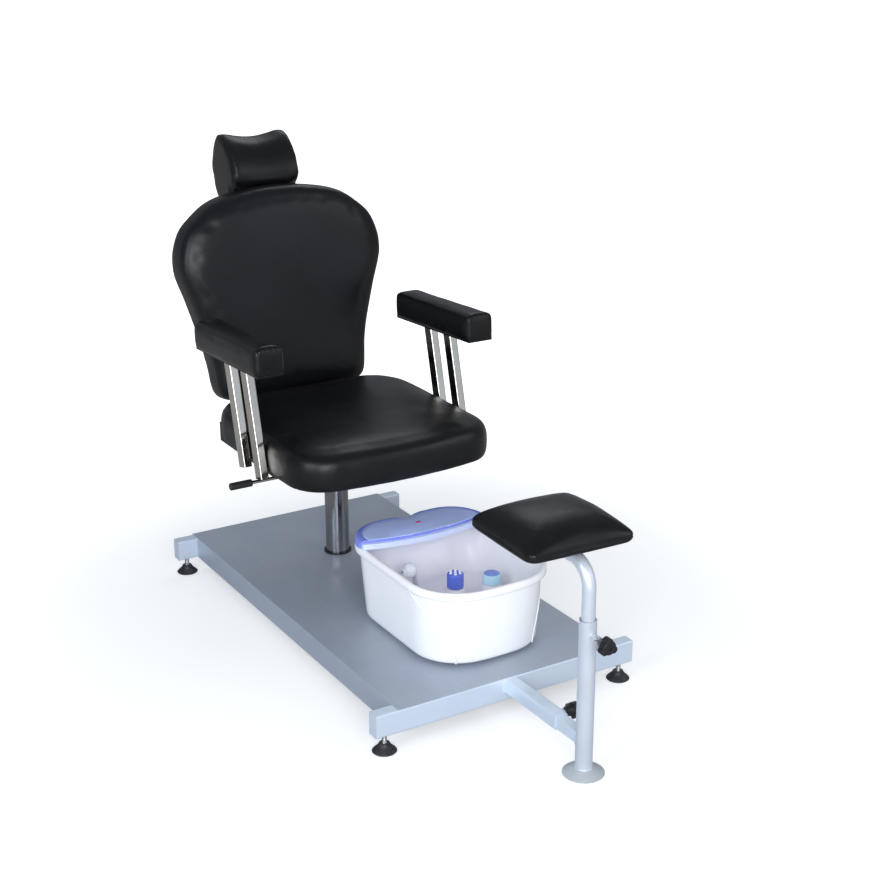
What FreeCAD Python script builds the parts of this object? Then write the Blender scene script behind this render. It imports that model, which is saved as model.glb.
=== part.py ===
import FreeCAD, Part
import math
import os

os.makedirs("parts", exist_ok=True)

# Lengths are millimetres. The layout starts at the front face of the front beam: +Y runs to the
# back of the chair, +X to the sitter's left and +Z up. save() moves the finished pieces so that
# the origin lies on the floor, midway between the footrest knob and the back of the headrest.

# Shared values
hair = 0.3
slip = 0.05
cut_over = 5.0

# Base frame
beam_length = 620.0
beam_deep = 30.0
beam_high = 50.0
beam_wall = 2.0
beam_low = 38.5
rear_beam_y = 998.0
cap_thick = 1.5
deck_half = 261.0
deck_sheet_thick = 1.5
deck_fold_radius = 1.2
rail_wide = 30.0
beam_top = beam_low + beam_high
deck_top = beam_top + deck_sheet_thick
deck_rear_y = rear_beam_y + beam_deep
tube_corner = 4.0

# Levelling feet
foot_end_inset = 25.0
pad_radius = 25.0
pad_rim_high = 3.5
pad_high = 18.5
pad_neck_radius = 11.0
stud_radius = 5.0
stud_into_beam = 14.0
stud_drive = 3.0
nut_radius = 9.0
nut_high = 8.0

# Column and gas lift
column_y = 752.7
column_radius = 28.0
column_bore = 25.0
column_high = 188.0
column_floor_thick = 4.0
ring_radius = 32.5
ring_high = 4.0
plate_half = 100.0
plate_thick = 6.0
cross_offset = 85.0
clip_hole_radius = 12.0
rod_radius = 5.0
rod_end_radius = 4.0
rod_collar_radius = 8.0
rod_collar_high = 3.0
rod_high = 158.0
bearing_radius = 14.0
bearing_high = 7.0
bearing_washer = 2.0
piston_high = 8.0
bush_high = 60.0
cylinder_radius = 14.0
cylinder_bore = 11.0
cylinder_low = 115.5
cylinder_cap = 6.0
taper_low = 317.5
taper_high = 32.0
taper_top_radius = 13.2
pin_radius = 3.0
pin_high = 16.0
pin_stands = 6.0
pin_travel = 3.4

# Seat plate and lever
board_low = 370.5
seat_plate_thick = 4.0
seat_plate_half = 110.0
socket_radius = 20.0
socket_low = 322.5
window_half = 7.0
window_low = 349.0
lever_x = -32.0
lever_z = 341.5
lever_y = 668.0
lever_radius = 4.0
lever_shaft_end = 6.0
lever_rod_reach = 300.0
grip_radius = 8.5
grip_cover = 47.0
grip_past_rod = 6.0
ear_thick = 4.0
ear_half = 10.0
ear_places = (728.0, 692.0)
tongue_half = 5.0
tongue_thick = 4.0
tongue_gap = 0.4
tongue_past_pin = 4.0
tongue_web = 5.0

# Seat
seat_front = 399.0
seat_rear = 931.0
seat_half = 247.5
seat_front_corner = 92.0
seat_rear_corner = 110.0
seat_bow = 12.0
board_thick = 12.0
board_inset = 27.0
board_front_inset = 51.0
board_front_corner = 100.0
board_rear_corner = 85.0
seat_side_high = 66.0
seat_foot_inset = 5.0
seat_crown = 30.0
seat_waist = 2.0
seat_top_inset = 24.0
seat_crown_inset = 105.0
batten_outer = 242.5
batten_wide = 34.0
batten_high = 45.0
batten_front = 560.0
batten_rear = 860.0

# Arms
arm_bar_outer = 268.0
arm_bar_wide = 20.0
arm_bar_deep = 30.0
arm_bar_wall = 1.5
arm_bar_lean_share = 0.248
arm_ref_z = 607.5
rear_bar_front = 727.7
bar_pitch = 87.3
arm_bar_low = 378.5
pad_front = 522.0
pad_length = 340.0
pad_wide = 73.0
pad_tall = 66.0
pad_centre_x = 260.5
pad_over_ref = 18.0
pad_drop = 14.5
pad_edge = 9.0
arm_board_thick = 12.0
arm_board_inset = 6.0
arm_plate_thick = 4.0
arm_plate_wide = 36.0
arm_plate_length = 170.0
arm_plate_start = 95.0
arm_bolt_radius = 4.0
arm_bolt_head_radius = 7.0
arm_bolt_head_high = 5.0
arm_bolt_rise = 16.0
arm_bolt_pitch = 23.0
arm_screw_radius = 2.0
arm_screw_head = 4.0
arm_screw_head_high = 2.2

# Backrest, drawn upright and then leaned back
back_front_y = 934.0
back_base_z = 434.5
back_lean_share = 0.12
back_thick = 88.0
back_high = 504.0
back_base_half = 200.0
back_base_corner = 34.0
back_wide_half = 265.5
back_outline = (
    (200.0, 34.0), (205.5, 112.0), (225.0, 190.0),
    (243.0, 253.0), (262.0, 303.0),
    (265.5, 350.0), (252.0, 398.0),
    (237.0, 424.0), (215.0, 443.0),
    (171.0, 476.0), (120.0, 491.5),
    (0.0, 504.0),
)
back_round = 26.0
back_rear_round = 14.0
back_crown = 7.0
back_board_thick = 12.0
back_board_border = 24.0
back_crown_border = 95.0
bracket_x = 70.0
bracket_wide = 40.0
bracket_thick = 6.0
bracket_up = 215.0
bracket_screw_heights = (60.0, 130.0, 195.0)
screw_radius = 3.0
screw_head_radius = 6.0
screw_head_high = 3.0
screw_long = 14.0
seat_screw_offset = 85.0

# Headrest
head_half = 88.0
head_front_low_y = 1085.0
head_low_z = 874.0
head_throat_z = 914.0
head_front_y = 1068.0
head_front_z = 949.0
head_brow_y = 1096.0
head_brow_z = 1011.0
head_top_y = 1144.0
head_top_z = 1040.0
head_crest_y = 1182.0
head_crest_z = 1029.0
head_rear_y = 1209.0
head_rear_z = 957.0
head_rear_low_y = 1169.0
head_section_shares = ((0.0, 0.965), (0.45, 0.975), (0.91, 1.0), (1.0, 0.94))
head_board_thick = 10.0
head_board_half = 70.0
head_board_low = 20.0
head_board_high = 105.0
post_wide = 40.0
post_thick = 8.0
post_low = 300.0
guide_wall = 2.5
guide_low = 318.0
guide_high = 110.0
guide_ear = 22.0

# Footrest
footrest_y = -252.0
socket_out = 30.0
socket_wall = 2.0
socket_centre_z = 72.5
socket_end_y = -176.0
socket_gap = 0.5
slide_bar_wall = 2.0
slide_bar_end_y = -60.0
sleeve_outer = 16.85
sleeve_bore = 14.85
sleeve_top = 322.5
flange_radius = 41.0
flange_rim_high = 3.0
flange_neck_high = 13.0
flange_neck_radius = 21.0
mast_radius = 13.3
mast_bore = 11.4
mast_low = 157.5
mast_bend_start = 383.5
mast_bend_radius = 47.5
mast_run = 105.0
mast_plate_half = 70.0
mast_plate_thick = 4.0
plug_high = 40.0
plug_spigot = 25.0
rest_half = 122.0
rest_front = -245.5
rest_long = 230.0
rest_edge = 18.0
rest_crown = 36.0
rest_corner = 22.0
rest_board_thick = 10.0
rest_board_inset = 14.0
height_knob_z = 292.5
reach_knob_y = -148.0
knob_screw_radius = 4.0
boss_radius = 8.0
boss_long = 9.0
height_knob_stem = 16.0
reach_knob_stem = 7.0
knob_neck_radius = 9.0
knob_neck_long = 12.0
knob_head_radius = 14.0
knob_head_long = 15.0
knob_lobe_radius = 7.0
knob_lobe_out = 12.0
knob_cap_radius = 5.0
knob_cap_deep = 1.5
knob_blind = 20.0

# Foot bath
bath_base_z = 96.5
bath_x = 18.5
bath_foot_radius = 9.0
bath_foot_x = 88.0
bath_foot_front = 118.0
bath_foot_rear = 385.0
bath_front = 70.6
bath_rear = 438.0
bath_base_half = 142.0
bath_splay = 7.0
bath_front_splay = 8.6
bath_rear_splay = 17.0
bath_corner_front = 106.0
bath_corner_rear = 78.0
bath_bow = 1.5
bath_wall = 2.5
bath_rim_z = 263.5
bath_rim_out = 10.0
bath_rim_drop = 16.0
bath_rim_thick = 3.0
bath_rim_in = 6.0
bath_crest_in = -2.0
bath_crest_drop = 8.0
bath_floor_z = 157.5
bath_floor_draft = 22.0
basin_rear_inset = 70.0
cover_front_y = 346.0
cover_high = 19.0
cover_round = 16.0
cover_profile_shares = ((0.0, 0.0), (0.45, 0.1), (0.8, 0.45), (1.0, 1.0))
cover_bow = 26.0
cover_shell = 3.0
cover_notch_half = 34.0
cover_notch_deep = 11.0
fascia_deep = 9.0
fascia_high = 12.0
lamp_half_x = 6.0
lamp_half_y = 2.6
lamp_high = 1.2
lamp_place_x = 0.0
lamp_back = 52.0
gland_radius = 6.0
gland_long = 9.0
gland_z = 121.5
plinth_radius = 22.0
nodule_x = 4.0
nodule_y = 250.0
nodule_radius = 18.0
nodule_high = 34.0
nodule_bead = 3.0
nodule_bead_ring = 11.5
cap_x = 83.0
cap_y = 229.0
cap_radius = 20.5
cap_high = 23.0
plinth_high = 26.0
spigot_radius = 5.0
spigot_high = 6.0
roller_x = -62.0
roller_y = 331.0
roller_radius = 17.0
roller_cheek = 4.0
roller_axle = 2.5
roller_lift = 50.0

# Places worked out from the sizes above
foot_x = beam_length / 2.0 - foot_end_inset
grip_start = lever_rod_reach - grip_cover
grip_end = lever_rod_reach + grip_past_rod
pad_low_front = arm_ref_z + pad_over_ref
arm_bolt_heights = (arm_bar_low + arm_bolt_rise, arm_bar_low + arm_bolt_rise + arm_bolt_pitch)
pad_slope = -math.degrees(math.atan(pad_drop / pad_length))
arm_lean = math.degrees(math.atan(arm_bar_lean_share))
back_lean = math.degrees(math.atan(back_lean_share))
back_slope_length = math.hypot(1.0, back_lean_share)
column_base_z = beam_top
column_top = column_base_z + column_high
cylinder_top = taper_low + taper_high - 2.0 * slip
sleeve_front_y = footrest_y - sleeve_outer
knob_face_y = sleeve_front_y - boss_long - height_knob_stem - knob_neck_long - knob_head_long
origin_y = (knob_face_y + head_rear_y) / 2.0
X_AXIS = FreeCAD.Vector(1, 0, 0)
Y_AXIS = FreeCAD.Vector(0, 1, 0)
Z_AXIS = FreeCAD.Vector(0, 0, 1)


def vec(x, y, z):
    return FreeCAD.Vector(x, y, z)


def save(name, shape):
    """Write one sub-part, moved from the layout to the part's own origin."""
    placed = shape.copy()
    placed.translate(vec(0, -origin_y, 0))
    placed.exportStep("parts/" + name + ".step")


def group(shapes):
    return Part.makeCompound(shapes)


def join(shapes):
    """Weld pieces into one solid."""
    whole = shapes[0]
    for piece in shapes[1:]:
        whole = whole.fuse(piece)
    return whole.removeSplitter()


def block(x0, x1, y0, y1, z0, z1):
    return Part.makeBox(x1 - x0, y1 - y0, z1 - z0, vec(x0, y0, z0))


def rod(radius, length, base, axis=Z_AXIS):
    return Part.makeCylinder(radius, length, base, axis)


def ring(outer, inner, length, base, axis=Z_AXIS):
    past = vec(axis.x, axis.y, axis.z).multiply(cut_over)
    hole = rod(inner, length + 2.0 * cut_over, base.sub(past), axis)
    return rod(outer, length, base, axis).cut(hole)


def round_edges(shape, radius, keep):
    """Fillet every edge that keep() accepts."""
    edges = [edge for edge in shape.Edges if keep(edge)]
    return shape.makeFillet(radius, edges)


def edge_along(edge, axis):
    """True for a straight edge that runs along the axis."""
    if len(edge.Vertexes) < 2:
        return False
    run = edge.Vertexes[1].Point.sub(edge.Vertexes[0].Point)
    return run.Length > 0 and abs(run.dot(axis)) > 0.999 * run.Length


def edge_above(edge, height):
    """True for an edge that lies at the height or higher."""
    return edge.BoundBox.ZMin > height - hair


def square_tube(x0, x1, y0, y1, z0, z1, wall, axis, corner):
    """A rounded rectangular tube, open at both ends along the axis."""
    outer = round_edges(block(x0, x1, y0, y1, z0, z1), corner, lambda e: edge_along(e, axis))
    ox, oy, oz = [wall if share < 0.5 else -cut_over for share in (axis.x, axis.y, axis.z)]
    inner = block(x0 + ox, x1 - ox, y0 + oy, y1 - oy, z0 + oz, z1 - oz)
    inner = round_edges(inner, corner - wall, lambda e: edge_along(e, axis))
    return outer.cut(inner)


def arc(p, q, r):
    return Part.Arc(p, q, r).toShape()


def line(p, q):
    return Part.LineSegment(p, q).toShape()


def plan_wire(half, front, rear, front_corner, rear_corner, bow, z):
    """A cushion or tub outline seen from above: bowed front, straight sides, rounded corners."""
    low = front + bow
    turn = math.sqrt(0.5)
    a = vec(-half + front_corner, low, z)
    b = vec(half - front_corner, low, z)
    c = vec(half, low + front_corner, z)
    d = vec(half, rear - rear_corner, z)
    e = vec(half - rear_corner, rear, z)
    f = vec(-half + rear_corner, rear, z)
    g = vec(-half, rear - rear_corner, z)
    h = vec(-half, low + front_corner, z)
    bc = vec(half - front_corner * (1.0 - turn), low + front_corner * (1.0 - turn), z)
    de = vec(half - rear_corner * (1.0 - turn), rear - rear_corner * (1.0 - turn), z)
    fg = vec(-de.x, de.y, z)
    ha = vec(-bc.x, bc.y, z)
    edges = [
        arc(a, vec(0, front, z), b),
        arc(b, bc, c),
        line(c, d),
        arc(d, de, e),
        line(e, f),
        arc(f, fg, g),
        line(g, h),
        arc(h, ha, a),
    ]
    return Part.Wire(edges)


def loft(wires, ruled=False):
    return Part.makeLoft(wires, True, ruled)


def spin(points, base, axis=Z_AXIS):
    """Turn a profile of (radius, height) points about an axis through base."""
    wire = Part.makePolygon([vec(r, 0, h) for r, h in points] + [vec(points[0][0], 0, points[0][1])])
    solid = Part.Face(wire).revolve(vec(0, 0, 0), Z_AXIS, 360)
    solid.Placement = FreeCAD.Placement(base, FreeCAD.Rotation(Z_AXIS, axis))
    return solid


# Base frame


def beam(y0):
    return square_tube(
        -beam_length / 2.0 + cap_thick, beam_length / 2.0 - cap_thick,
        y0, y0 + beam_deep, beam_low, beam_top, beam_wall, X_AXIS, tube_corner)


def foot_places():
    for y0 in (0.0, rear_beam_y):
        for side in (-1.0, 1.0):
            yield side * foot_x, y0 + beam_deep / 2.0


def folded_edge(edge):
    """True for the long upper edge of the deck sheet on either side."""
    if not edge_along(edge, Y_AXIS):
        return False
    corner = edge.Vertexes[0].Point
    return abs(abs(corner.x) - deck_half) < hair and corner.z > beam_top + hair


def make_base():
    front = beam(0.0)
    rear = beam(rear_beam_y)
    for x, y in foot_places():
        hole = rod(stud_radius + hair, beam_wall + 2.0 * cut_over, vec(x, y, beam_low - cut_over))
        front = front.cut(hole)
        rear = rear.cut(hole)
    save("front_beam", front)
    save("rear_beam", rear)

    caps = []
    for y0 in (0.0, rear_beam_y):
        for side in (-1.0, 1.0):
            x0 = side * (beam_length / 2.0 - cap_thick)
            x1 = side * beam_length / 2.0
            plate = block(min(x0, x1), max(x0, x1), y0, y0 + beam_deep, beam_low, beam_top)
            caps.append(round_edges(plate, tube_corner, lambda e: edge_along(e, X_AXIS)))
    save("beam_end_caps", group(caps))

    rail_outer = deck_half - deck_sheet_thick
    rails = []
    for side in (-1.0, 1.0):
        x0, x1 = sorted((side * rail_outer, side * (rail_outer - rail_wide)))
        rails.append(square_tube(x0, x1, beam_deep, rear_beam_y, beam_low, beam_top,
                                 beam_wall, Y_AXIS, tube_corner))
    save("side_rails", group(rails))

    deck = block(-deck_half, deck_half, 0, deck_rear_y, beam_top, deck_top)
    for side in (-1.0, 1.0):
        x0, x1 = sorted((side * deck_half, side * rail_outer))
        deck = deck.fuse(block(x0, x1, beam_deep, rear_beam_y, beam_low, beam_top))
    deck = deck.removeSplitter()
    deck = round_edges(deck, deck_fold_radius, folded_edge)
    deck = deck.cut(rod(column_radius + slip, 2.0 * cut_over, vec(0, column_y, beam_top - cut_over)))
    save("deck_sheet", deck)

    rail_inner = rail_outer - rail_wide
    cross_top = beam_top - plate_thick
    crosses = []
    for side in (-1.0, 1.0):
        y0 = column_y + side * cross_offset - rail_wide / 2.0
        crosses.append(square_tube(-rail_inner, rail_inner, y0, y0 + rail_wide, beam_low, cross_top,
                                   beam_wall, X_AXIS, tube_corner))
    plate = block(-plate_half, plate_half, column_y - plate_half, column_y + plate_half, cross_top,
                  beam_top)
    mount = join(crosses + [plate])
    mount = mount.cut(rod(clip_hole_radius, plate_thick + 2.0 * cut_over,
                          vec(0, column_y, cross_top - cut_over)))
    save("column_mount", mount)

    nuts = []
    for x, y in foot_places():
        nuts.append(ring(nut_radius, stud_radius + slip, nut_high, vec(x, y, beam_low + beam_wall)))
    save("leveller_nuts", group(nuts))


def make_levellers():
    names = ("front_right", "front_left", "rear_right", "rear_left")
    profile = [
        (0.0, 0.0),
        (pad_radius - stud_drive / 2.0, 0.0),
        (pad_radius, stud_drive / 2.0),
        (pad_radius - stud_drive / 2.0, pad_rim_high),
        (pad_neck_radius + stud_drive, pad_high - 2.0 * stud_drive),
        (pad_neck_radius, pad_high),
        (stud_radius, pad_high),
        (stud_radius, beam_low + stud_into_beam),
        (0.0, beam_low + stud_into_beam),
    ]
    for name, (x, y) in zip(names, foot_places()):
        save("leveller_" + name, spin(profile, vec(x, y, 0)))


def make_column():
    at = vec(0, column_y, column_base_z)
    tube = ring(column_radius, column_bore, column_high, at)
    floor = ring(column_bore, rod_end_radius + slip, column_floor_thick, at)
    save("column_stand_tube", join([tube, floor]))
    save("column_base_ring", ring(ring_radius, column_radius + slip, ring_high,
                                  vec(0, column_y, deck_top)))
    save("column_guide_bush", ring(column_bore, cylinder_radius + slip, bush_high,
                                   vec(0, column_y, column_top - bush_high)))

    floor_top = column_base_z + column_floor_thick
    shaft_low = floor_top + bearing_high
    collar_low = column_base_z - hair - rod_collar_high
    pieces = [
        rod(rod_collar_radius, rod_collar_high, vec(0, column_y, collar_low)),
        rod(rod_end_radius, shaft_low - collar_low, vec(0, column_y, collar_low)),
        rod(rod_radius, rod_high, vec(0, column_y, shaft_low)),
        rod(cylinder_bore - slip, piston_high, vec(0, column_y, shaft_low + rod_high - piston_high)),
    ]
    save("piston_rod", join(pieces))

    cage = bearing_high - 2.0 * bearing_washer - 2.0 * slip
    washer_hole = rod_end_radius + slip
    rings = [
        ring(bearing_radius, washer_hole, bearing_washer, vec(0, column_y, floor_top)),
        ring(bearing_radius - bearing_washer / 2.0, washer_hole, cage,
             vec(0, column_y, floor_top + bearing_washer + slip)),
        ring(bearing_radius, washer_hole, bearing_washer, vec(0, column_y, shaft_low - bearing_washer)),
    ]
    save("column_thrust_bearing", group(rings))

    body = rod(cylinder_radius, taper_low - cylinder_low, vec(0, column_y, cylinder_low))
    taper = Part.makeCone(cylinder_radius, taper_top_radius, taper_high - 2.0 * slip,
                          vec(0, column_y, taper_low))
    cylinder = join([body, taper])
    bore_low = cylinder_low + cylinder_cap
    pin_low = cylinder_top + pin_stands - pin_high
    bore_high = pin_low - pin_travel - 3.0 * cylinder_cap
    cylinder = cylinder.cut(rod(cylinder_bore, bore_high - bore_low, vec(0, column_y, bore_low)))
    cylinder = cylinder.cut(rod(rod_radius + slip, cylinder_cap + cut_over,
                                vec(0, column_y, cylinder_low - cut_over)))
    pin_well = pin_low - pin_travel - hair
    cylinder = cylinder.cut(rod(pin_radius + slip, pin_high + cut_over, vec(0, column_y, pin_well)))
    save("gas_cylinder", cylinder)
    save("gas_release_pin", rod(pin_radius, pin_high, vec(0, column_y, pin_low)))


# Chair


def make_seat_plate():
    plate_low = board_low - seat_plate_thick
    plate = block(-seat_plate_half, seat_plate_half, column_y - seat_plate_half,
                  column_y + seat_plate_half,
                  plate_low, board_low)
    socket = rod(socket_radius, plate_low - socket_low, vec(0, column_y, socket_low))
    taper = Part.makeCone(cylinder_radius + slip, taper_top_radius + slip, taper_high,
                          vec(0, column_y, taper_low))
    socket = socket.cut(taper)
    socket = socket.cut(rod(taper_top_radius + slip, plate_low - taper_low - taper_high,
                            vec(0, column_y, taper_low + taper_high)))
    window = block(-socket_radius - cut_over, 0, column_y - window_half, column_y + window_half,
                   window_low, plate_low)
    socket = socket.cut(window)
    ears = []
    for y0 in ear_places:
        ear = block(lever_x - ear_half, lever_x + ear_half, y0, y0 + ear_thick, lever_z - ear_half,
                    plate_low)
        hole = rod(lever_radius + slip, ear_thick + 2.0 * cut_over,
                   vec(lever_x, y0 - cut_over, lever_z), Y_AXIS)
        ears.append(ear.cut(hole))
    save("seat_plate", join([plate, socket] + ears))


def make_lever():
    shaft_rear = column_y + lever_shaft_end
    shaft = rod(lever_radius, shaft_rear - lever_y, vec(lever_x, lever_y, lever_z), Y_AXIS)
    knee = Part.makeSphere(lever_radius, vec(lever_x, lever_y, lever_z))
    bar = rod(lever_radius, lever_rod_reach + lever_x, vec(-lever_rod_reach, lever_y, lever_z), X_AXIS)
    tongue_low = cylinder_top + pin_stands + tongue_gap
    web = block(lever_x - tongue_web / 2.0, lever_x + tongue_web / 2.0, column_y - tongue_half,
                column_y + tongue_half, lever_z, tongue_low + tongue_thick)
    tongue = block(lever_x, tongue_past_pin, column_y - tongue_half, column_y + tongue_half,
                   tongue_low, tongue_low + tongue_thick)
    save("lift_lever", join([shaft, knee, bar, web, tongue]))
    grip = rod(grip_radius, grip_end - grip_start, vec(-grip_end, lever_y, lever_z), X_AXIS)
    grip = grip.makeFillet(grip_radius / 3.0, grip.Edges)
    save("lever_grip", grip.cut(rod(lever_radius, lever_rod_reach,
                                    vec(-lever_rod_reach, lever_y, lever_z), X_AXIS)))


def batten(side):
    x0, x1 = sorted((side * batten_outer, side * (batten_outer - batten_wide)))
    low = board_low + board_thick
    return block(x0, x1, batten_front, batten_rear, low, low + batten_high)


def seat_wire(inset, z):
    return plan_wire(seat_half - inset, seat_front + inset, seat_rear - inset,
                     seat_front_corner - inset / 2.0, seat_rear_corner - inset / 2.0, seat_bow, z)


def arm_bolt_lines():
    """Bolt centres in the two bars of one arm, as (y, z)."""
    for pitch_count in (0.0, 1.0):
        for z in arm_bolt_heights:
            front = rear_bar_front - pitch_count * bar_pitch + arm_bar_lean_share * (z - arm_ref_z)
            yield front + arm_bar_deep / 2.0, z


def bolt_holes(radius, x0, x1):
    holes = []
    for side in (-1.0, 1.0):
        for y, z in arm_bolt_lines():
            start = min(side * x0, side * x1)
            holes.append(rod(radius, abs(x1 - x0), vec(start, y, z), X_AXIS))
    return holes


def make_seat():
    low = board_low + board_thick
    outline = plan_wire(seat_half - board_inset, seat_front + board_front_inset,
                        seat_rear - board_inset,
                        board_front_corner, board_rear_corner, seat_bow / 2.0, board_low)
    board = Part.Face(outline).extrude(vec(0, 0, board_thick))
    frame = join([board, batten(-1.0), batten(1.0)])
    head_start = batten_outer - batten_wide
    for hole in bolt_holes(arm_bolt_radius, head_start - cut_over, batten_outer + cut_over):
        frame = frame.cut(hole)
    save("seat_frame", frame)

    side_top = low + seat_side_high
    wires = [
        seat_wire(seat_foot_inset, low),
        seat_wire(seat_waist, low + seat_side_high * 0.2),
        seat_wire(0.0, low + seat_side_high * 0.6),
        seat_wire(seat_waist, side_top),
        seat_wire(seat_top_inset * 0.4, side_top + seat_crown * 0.4),
        seat_wire(seat_top_inset, side_top + seat_crown * 0.65),
        seat_wire(seat_crown_inset * 0.55, side_top + seat_crown * 0.85),
        seat_wire(seat_crown_inset, side_top + seat_crown),
    ]
    cushion = loft(wires, True)
    cushion = cushion.cut(batten(-1.0)).cut(batten(1.0))
    for hole in bolt_holes(arm_bolt_radius, batten_outer - slip, arm_bar_outer):
        cushion = cushion.cut(hole)
    for hole in bolt_holes(arm_bolt_head_radius + hair, head_start - arm_bolt_head_high - hair,
                           head_start):
        cushion = cushion.cut(hole)
    save("seat_cushion", cushion)


def pad_frame(shape, side):
    """Move a piece drawn at a pad's front lower edge to its place on one side."""
    placed = shape.copy()
    placed.rotate(vec(0, 0, 0), X_AXIS, pad_slope)
    placed.translate(vec(side * pad_centre_x, pad_front, pad_low_front))
    return placed


def make_arms():
    bar_centre = arm_bar_outer - arm_bar_wide / 2.0
    plate_shift = bar_centre - pad_centre_x
    boards = []
    bolts = []
    for side, name in ((-1.0, "right"), (1.0, "left")):
        shift = side * plate_shift
        recess = block(shift - arm_plate_wide / 2.0, shift + arm_plate_wide / 2.0, arm_plate_start,
                       arm_plate_start + arm_plate_length, 0, arm_plate_thick)
        half = pad_wide / 2.0 - arm_board_inset
        board = block(-half, half, arm_board_inset, pad_length - arm_board_inset, 0, arm_board_thick)
        pad = block(-pad_wide / 2.0, pad_wide / 2.0, 0, pad_length, 0, pad_tall)
        pad = round_edges(pad, pad_edge, lambda e: edge_along(e, Z_AXIS) or edge_above(e, pad_tall))
        pad = pad.cut(board)
        board = board.cut(recess)
        screw_places = (arm_plate_start + arm_plate_wide / 3.0,
                        arm_plate_start + arm_plate_length - arm_plate_wide / 3.0)
        for y in screw_places:
            board = board.cut(rod(arm_screw_radius, arm_board_thick, vec(shift, y, 0)))
            recess = recess.cut(rod(arm_screw_radius, arm_board_thick, vec(shift, y, -cut_over)))
            shank = rod(arm_screw_radius, arm_board_thick + arm_screw_head_high,
                        vec(shift, y, -arm_screw_head_high))
            head = rod(arm_screw_head, arm_screw_head_high, vec(shift, y, -arm_screw_head_high))
            bolts.append(pad_frame(join([shank, head]), side))
        save(name + "_arm_pad", pad_frame(pad, side))
        boards.append(pad_frame(board, side))

        x0, x1 = sorted((side * arm_bar_outer, side * (arm_bar_outer - arm_bar_wide)))
        long = arm_ref_z - arm_bar_low + pad_tall
        ceiling = pad_frame(block(-pad_wide, pad_wide, -pad_length, 2.0 * pad_length,
                                  arm_plate_thick / 2.0,
                                  pad_tall + pad_length), side)
        pieces = [pad_frame(recess, side)]
        for count in (0.0, 1.0):
            bar = square_tube(x0, x1, 0, arm_bar_deep, 0, long, arm_bar_wall, Z_AXIS,
                              2.0 * arm_bar_wall)
            bar.rotate(vec(0, 0, 0), X_AXIS, -arm_lean)
            front = rear_bar_front - count * bar_pitch + arm_bar_lean_share * (arm_bar_low - arm_ref_z)
            bar.translate(vec(0, front, arm_bar_low))
            pieces.append(bar.cut(ceiling))
        frame = join(pieces)
        inner = arm_bar_outer - arm_bar_wide
        for hole in bolt_holes(arm_bolt_radius, inner - cut_over, inner + 2.0 * arm_bar_wall):
            frame = frame.cut(hole)
        save(name + "_arm_frame", frame)
    save("arm_boards", group(boards))

    shank_start = batten_outer - batten_wide
    shank_end = arm_bar_outer - arm_bar_wide + arm_bar_wall
    shanks = bolt_holes(arm_bolt_radius, shank_start, shank_end)
    heads = bolt_holes(arm_bolt_head_radius, shank_start - arm_bolt_head_high, shank_start)
    save("arm_bolts", group([join([shank, head]) for shank, head in zip(shanks, heads)]))
    return bolts


def lean_back(shape):
    """Lean a piece drawn upright behind y = 0 and move it to the foot of the backrest."""
    leaned = shape.copy()
    leaned.rotate(vec(0, 0, 0), X_AXIS, -back_lean)
    leaned.translate(vec(0, back_front_y, back_base_z))
    return leaned


def back_wire(border, y):
    """The backrest outline drawn in by a border, on the plane at depth y."""
    middle = back_high / 2.0
    wide_share = 1.0 - border / back_wide_half
    tall_share = 1.0 - border / middle
    turn = math.sqrt(0.5)

    def at(x, z):
        return vec(x * wide_share, y, middle + (z - middle) * tall_share)

    foot = back_base_half - back_base_corner
    heel = back_base_corner * (1.0 - turn)
    edges = [line(at(-foot, 0.0), at(foot, 0.0))]
    for side in (1.0, -1.0):
        edges.append(arc(at(side * foot, 0.0), at(side * (back_base_half - heel), heel),
                         at(side * back_base_half, back_base_corner)))
        for first in range(0, len(back_outline) - 3, 2):
            p, q, r = back_outline[first:first + 3]
            edges.append(arc(at(side * p[0], p[1]), at(side * q[0], q[1]), at(side * r[0], r[1])))
    top = back_outline[-2]
    crest = back_outline[-1]
    edges.append(arc(at(top[0], top[1]), at(crest[0], crest[1]), at(-top[0], top[1])))
    return Part.Wire(Part.__sortEdges__(edges))


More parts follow.
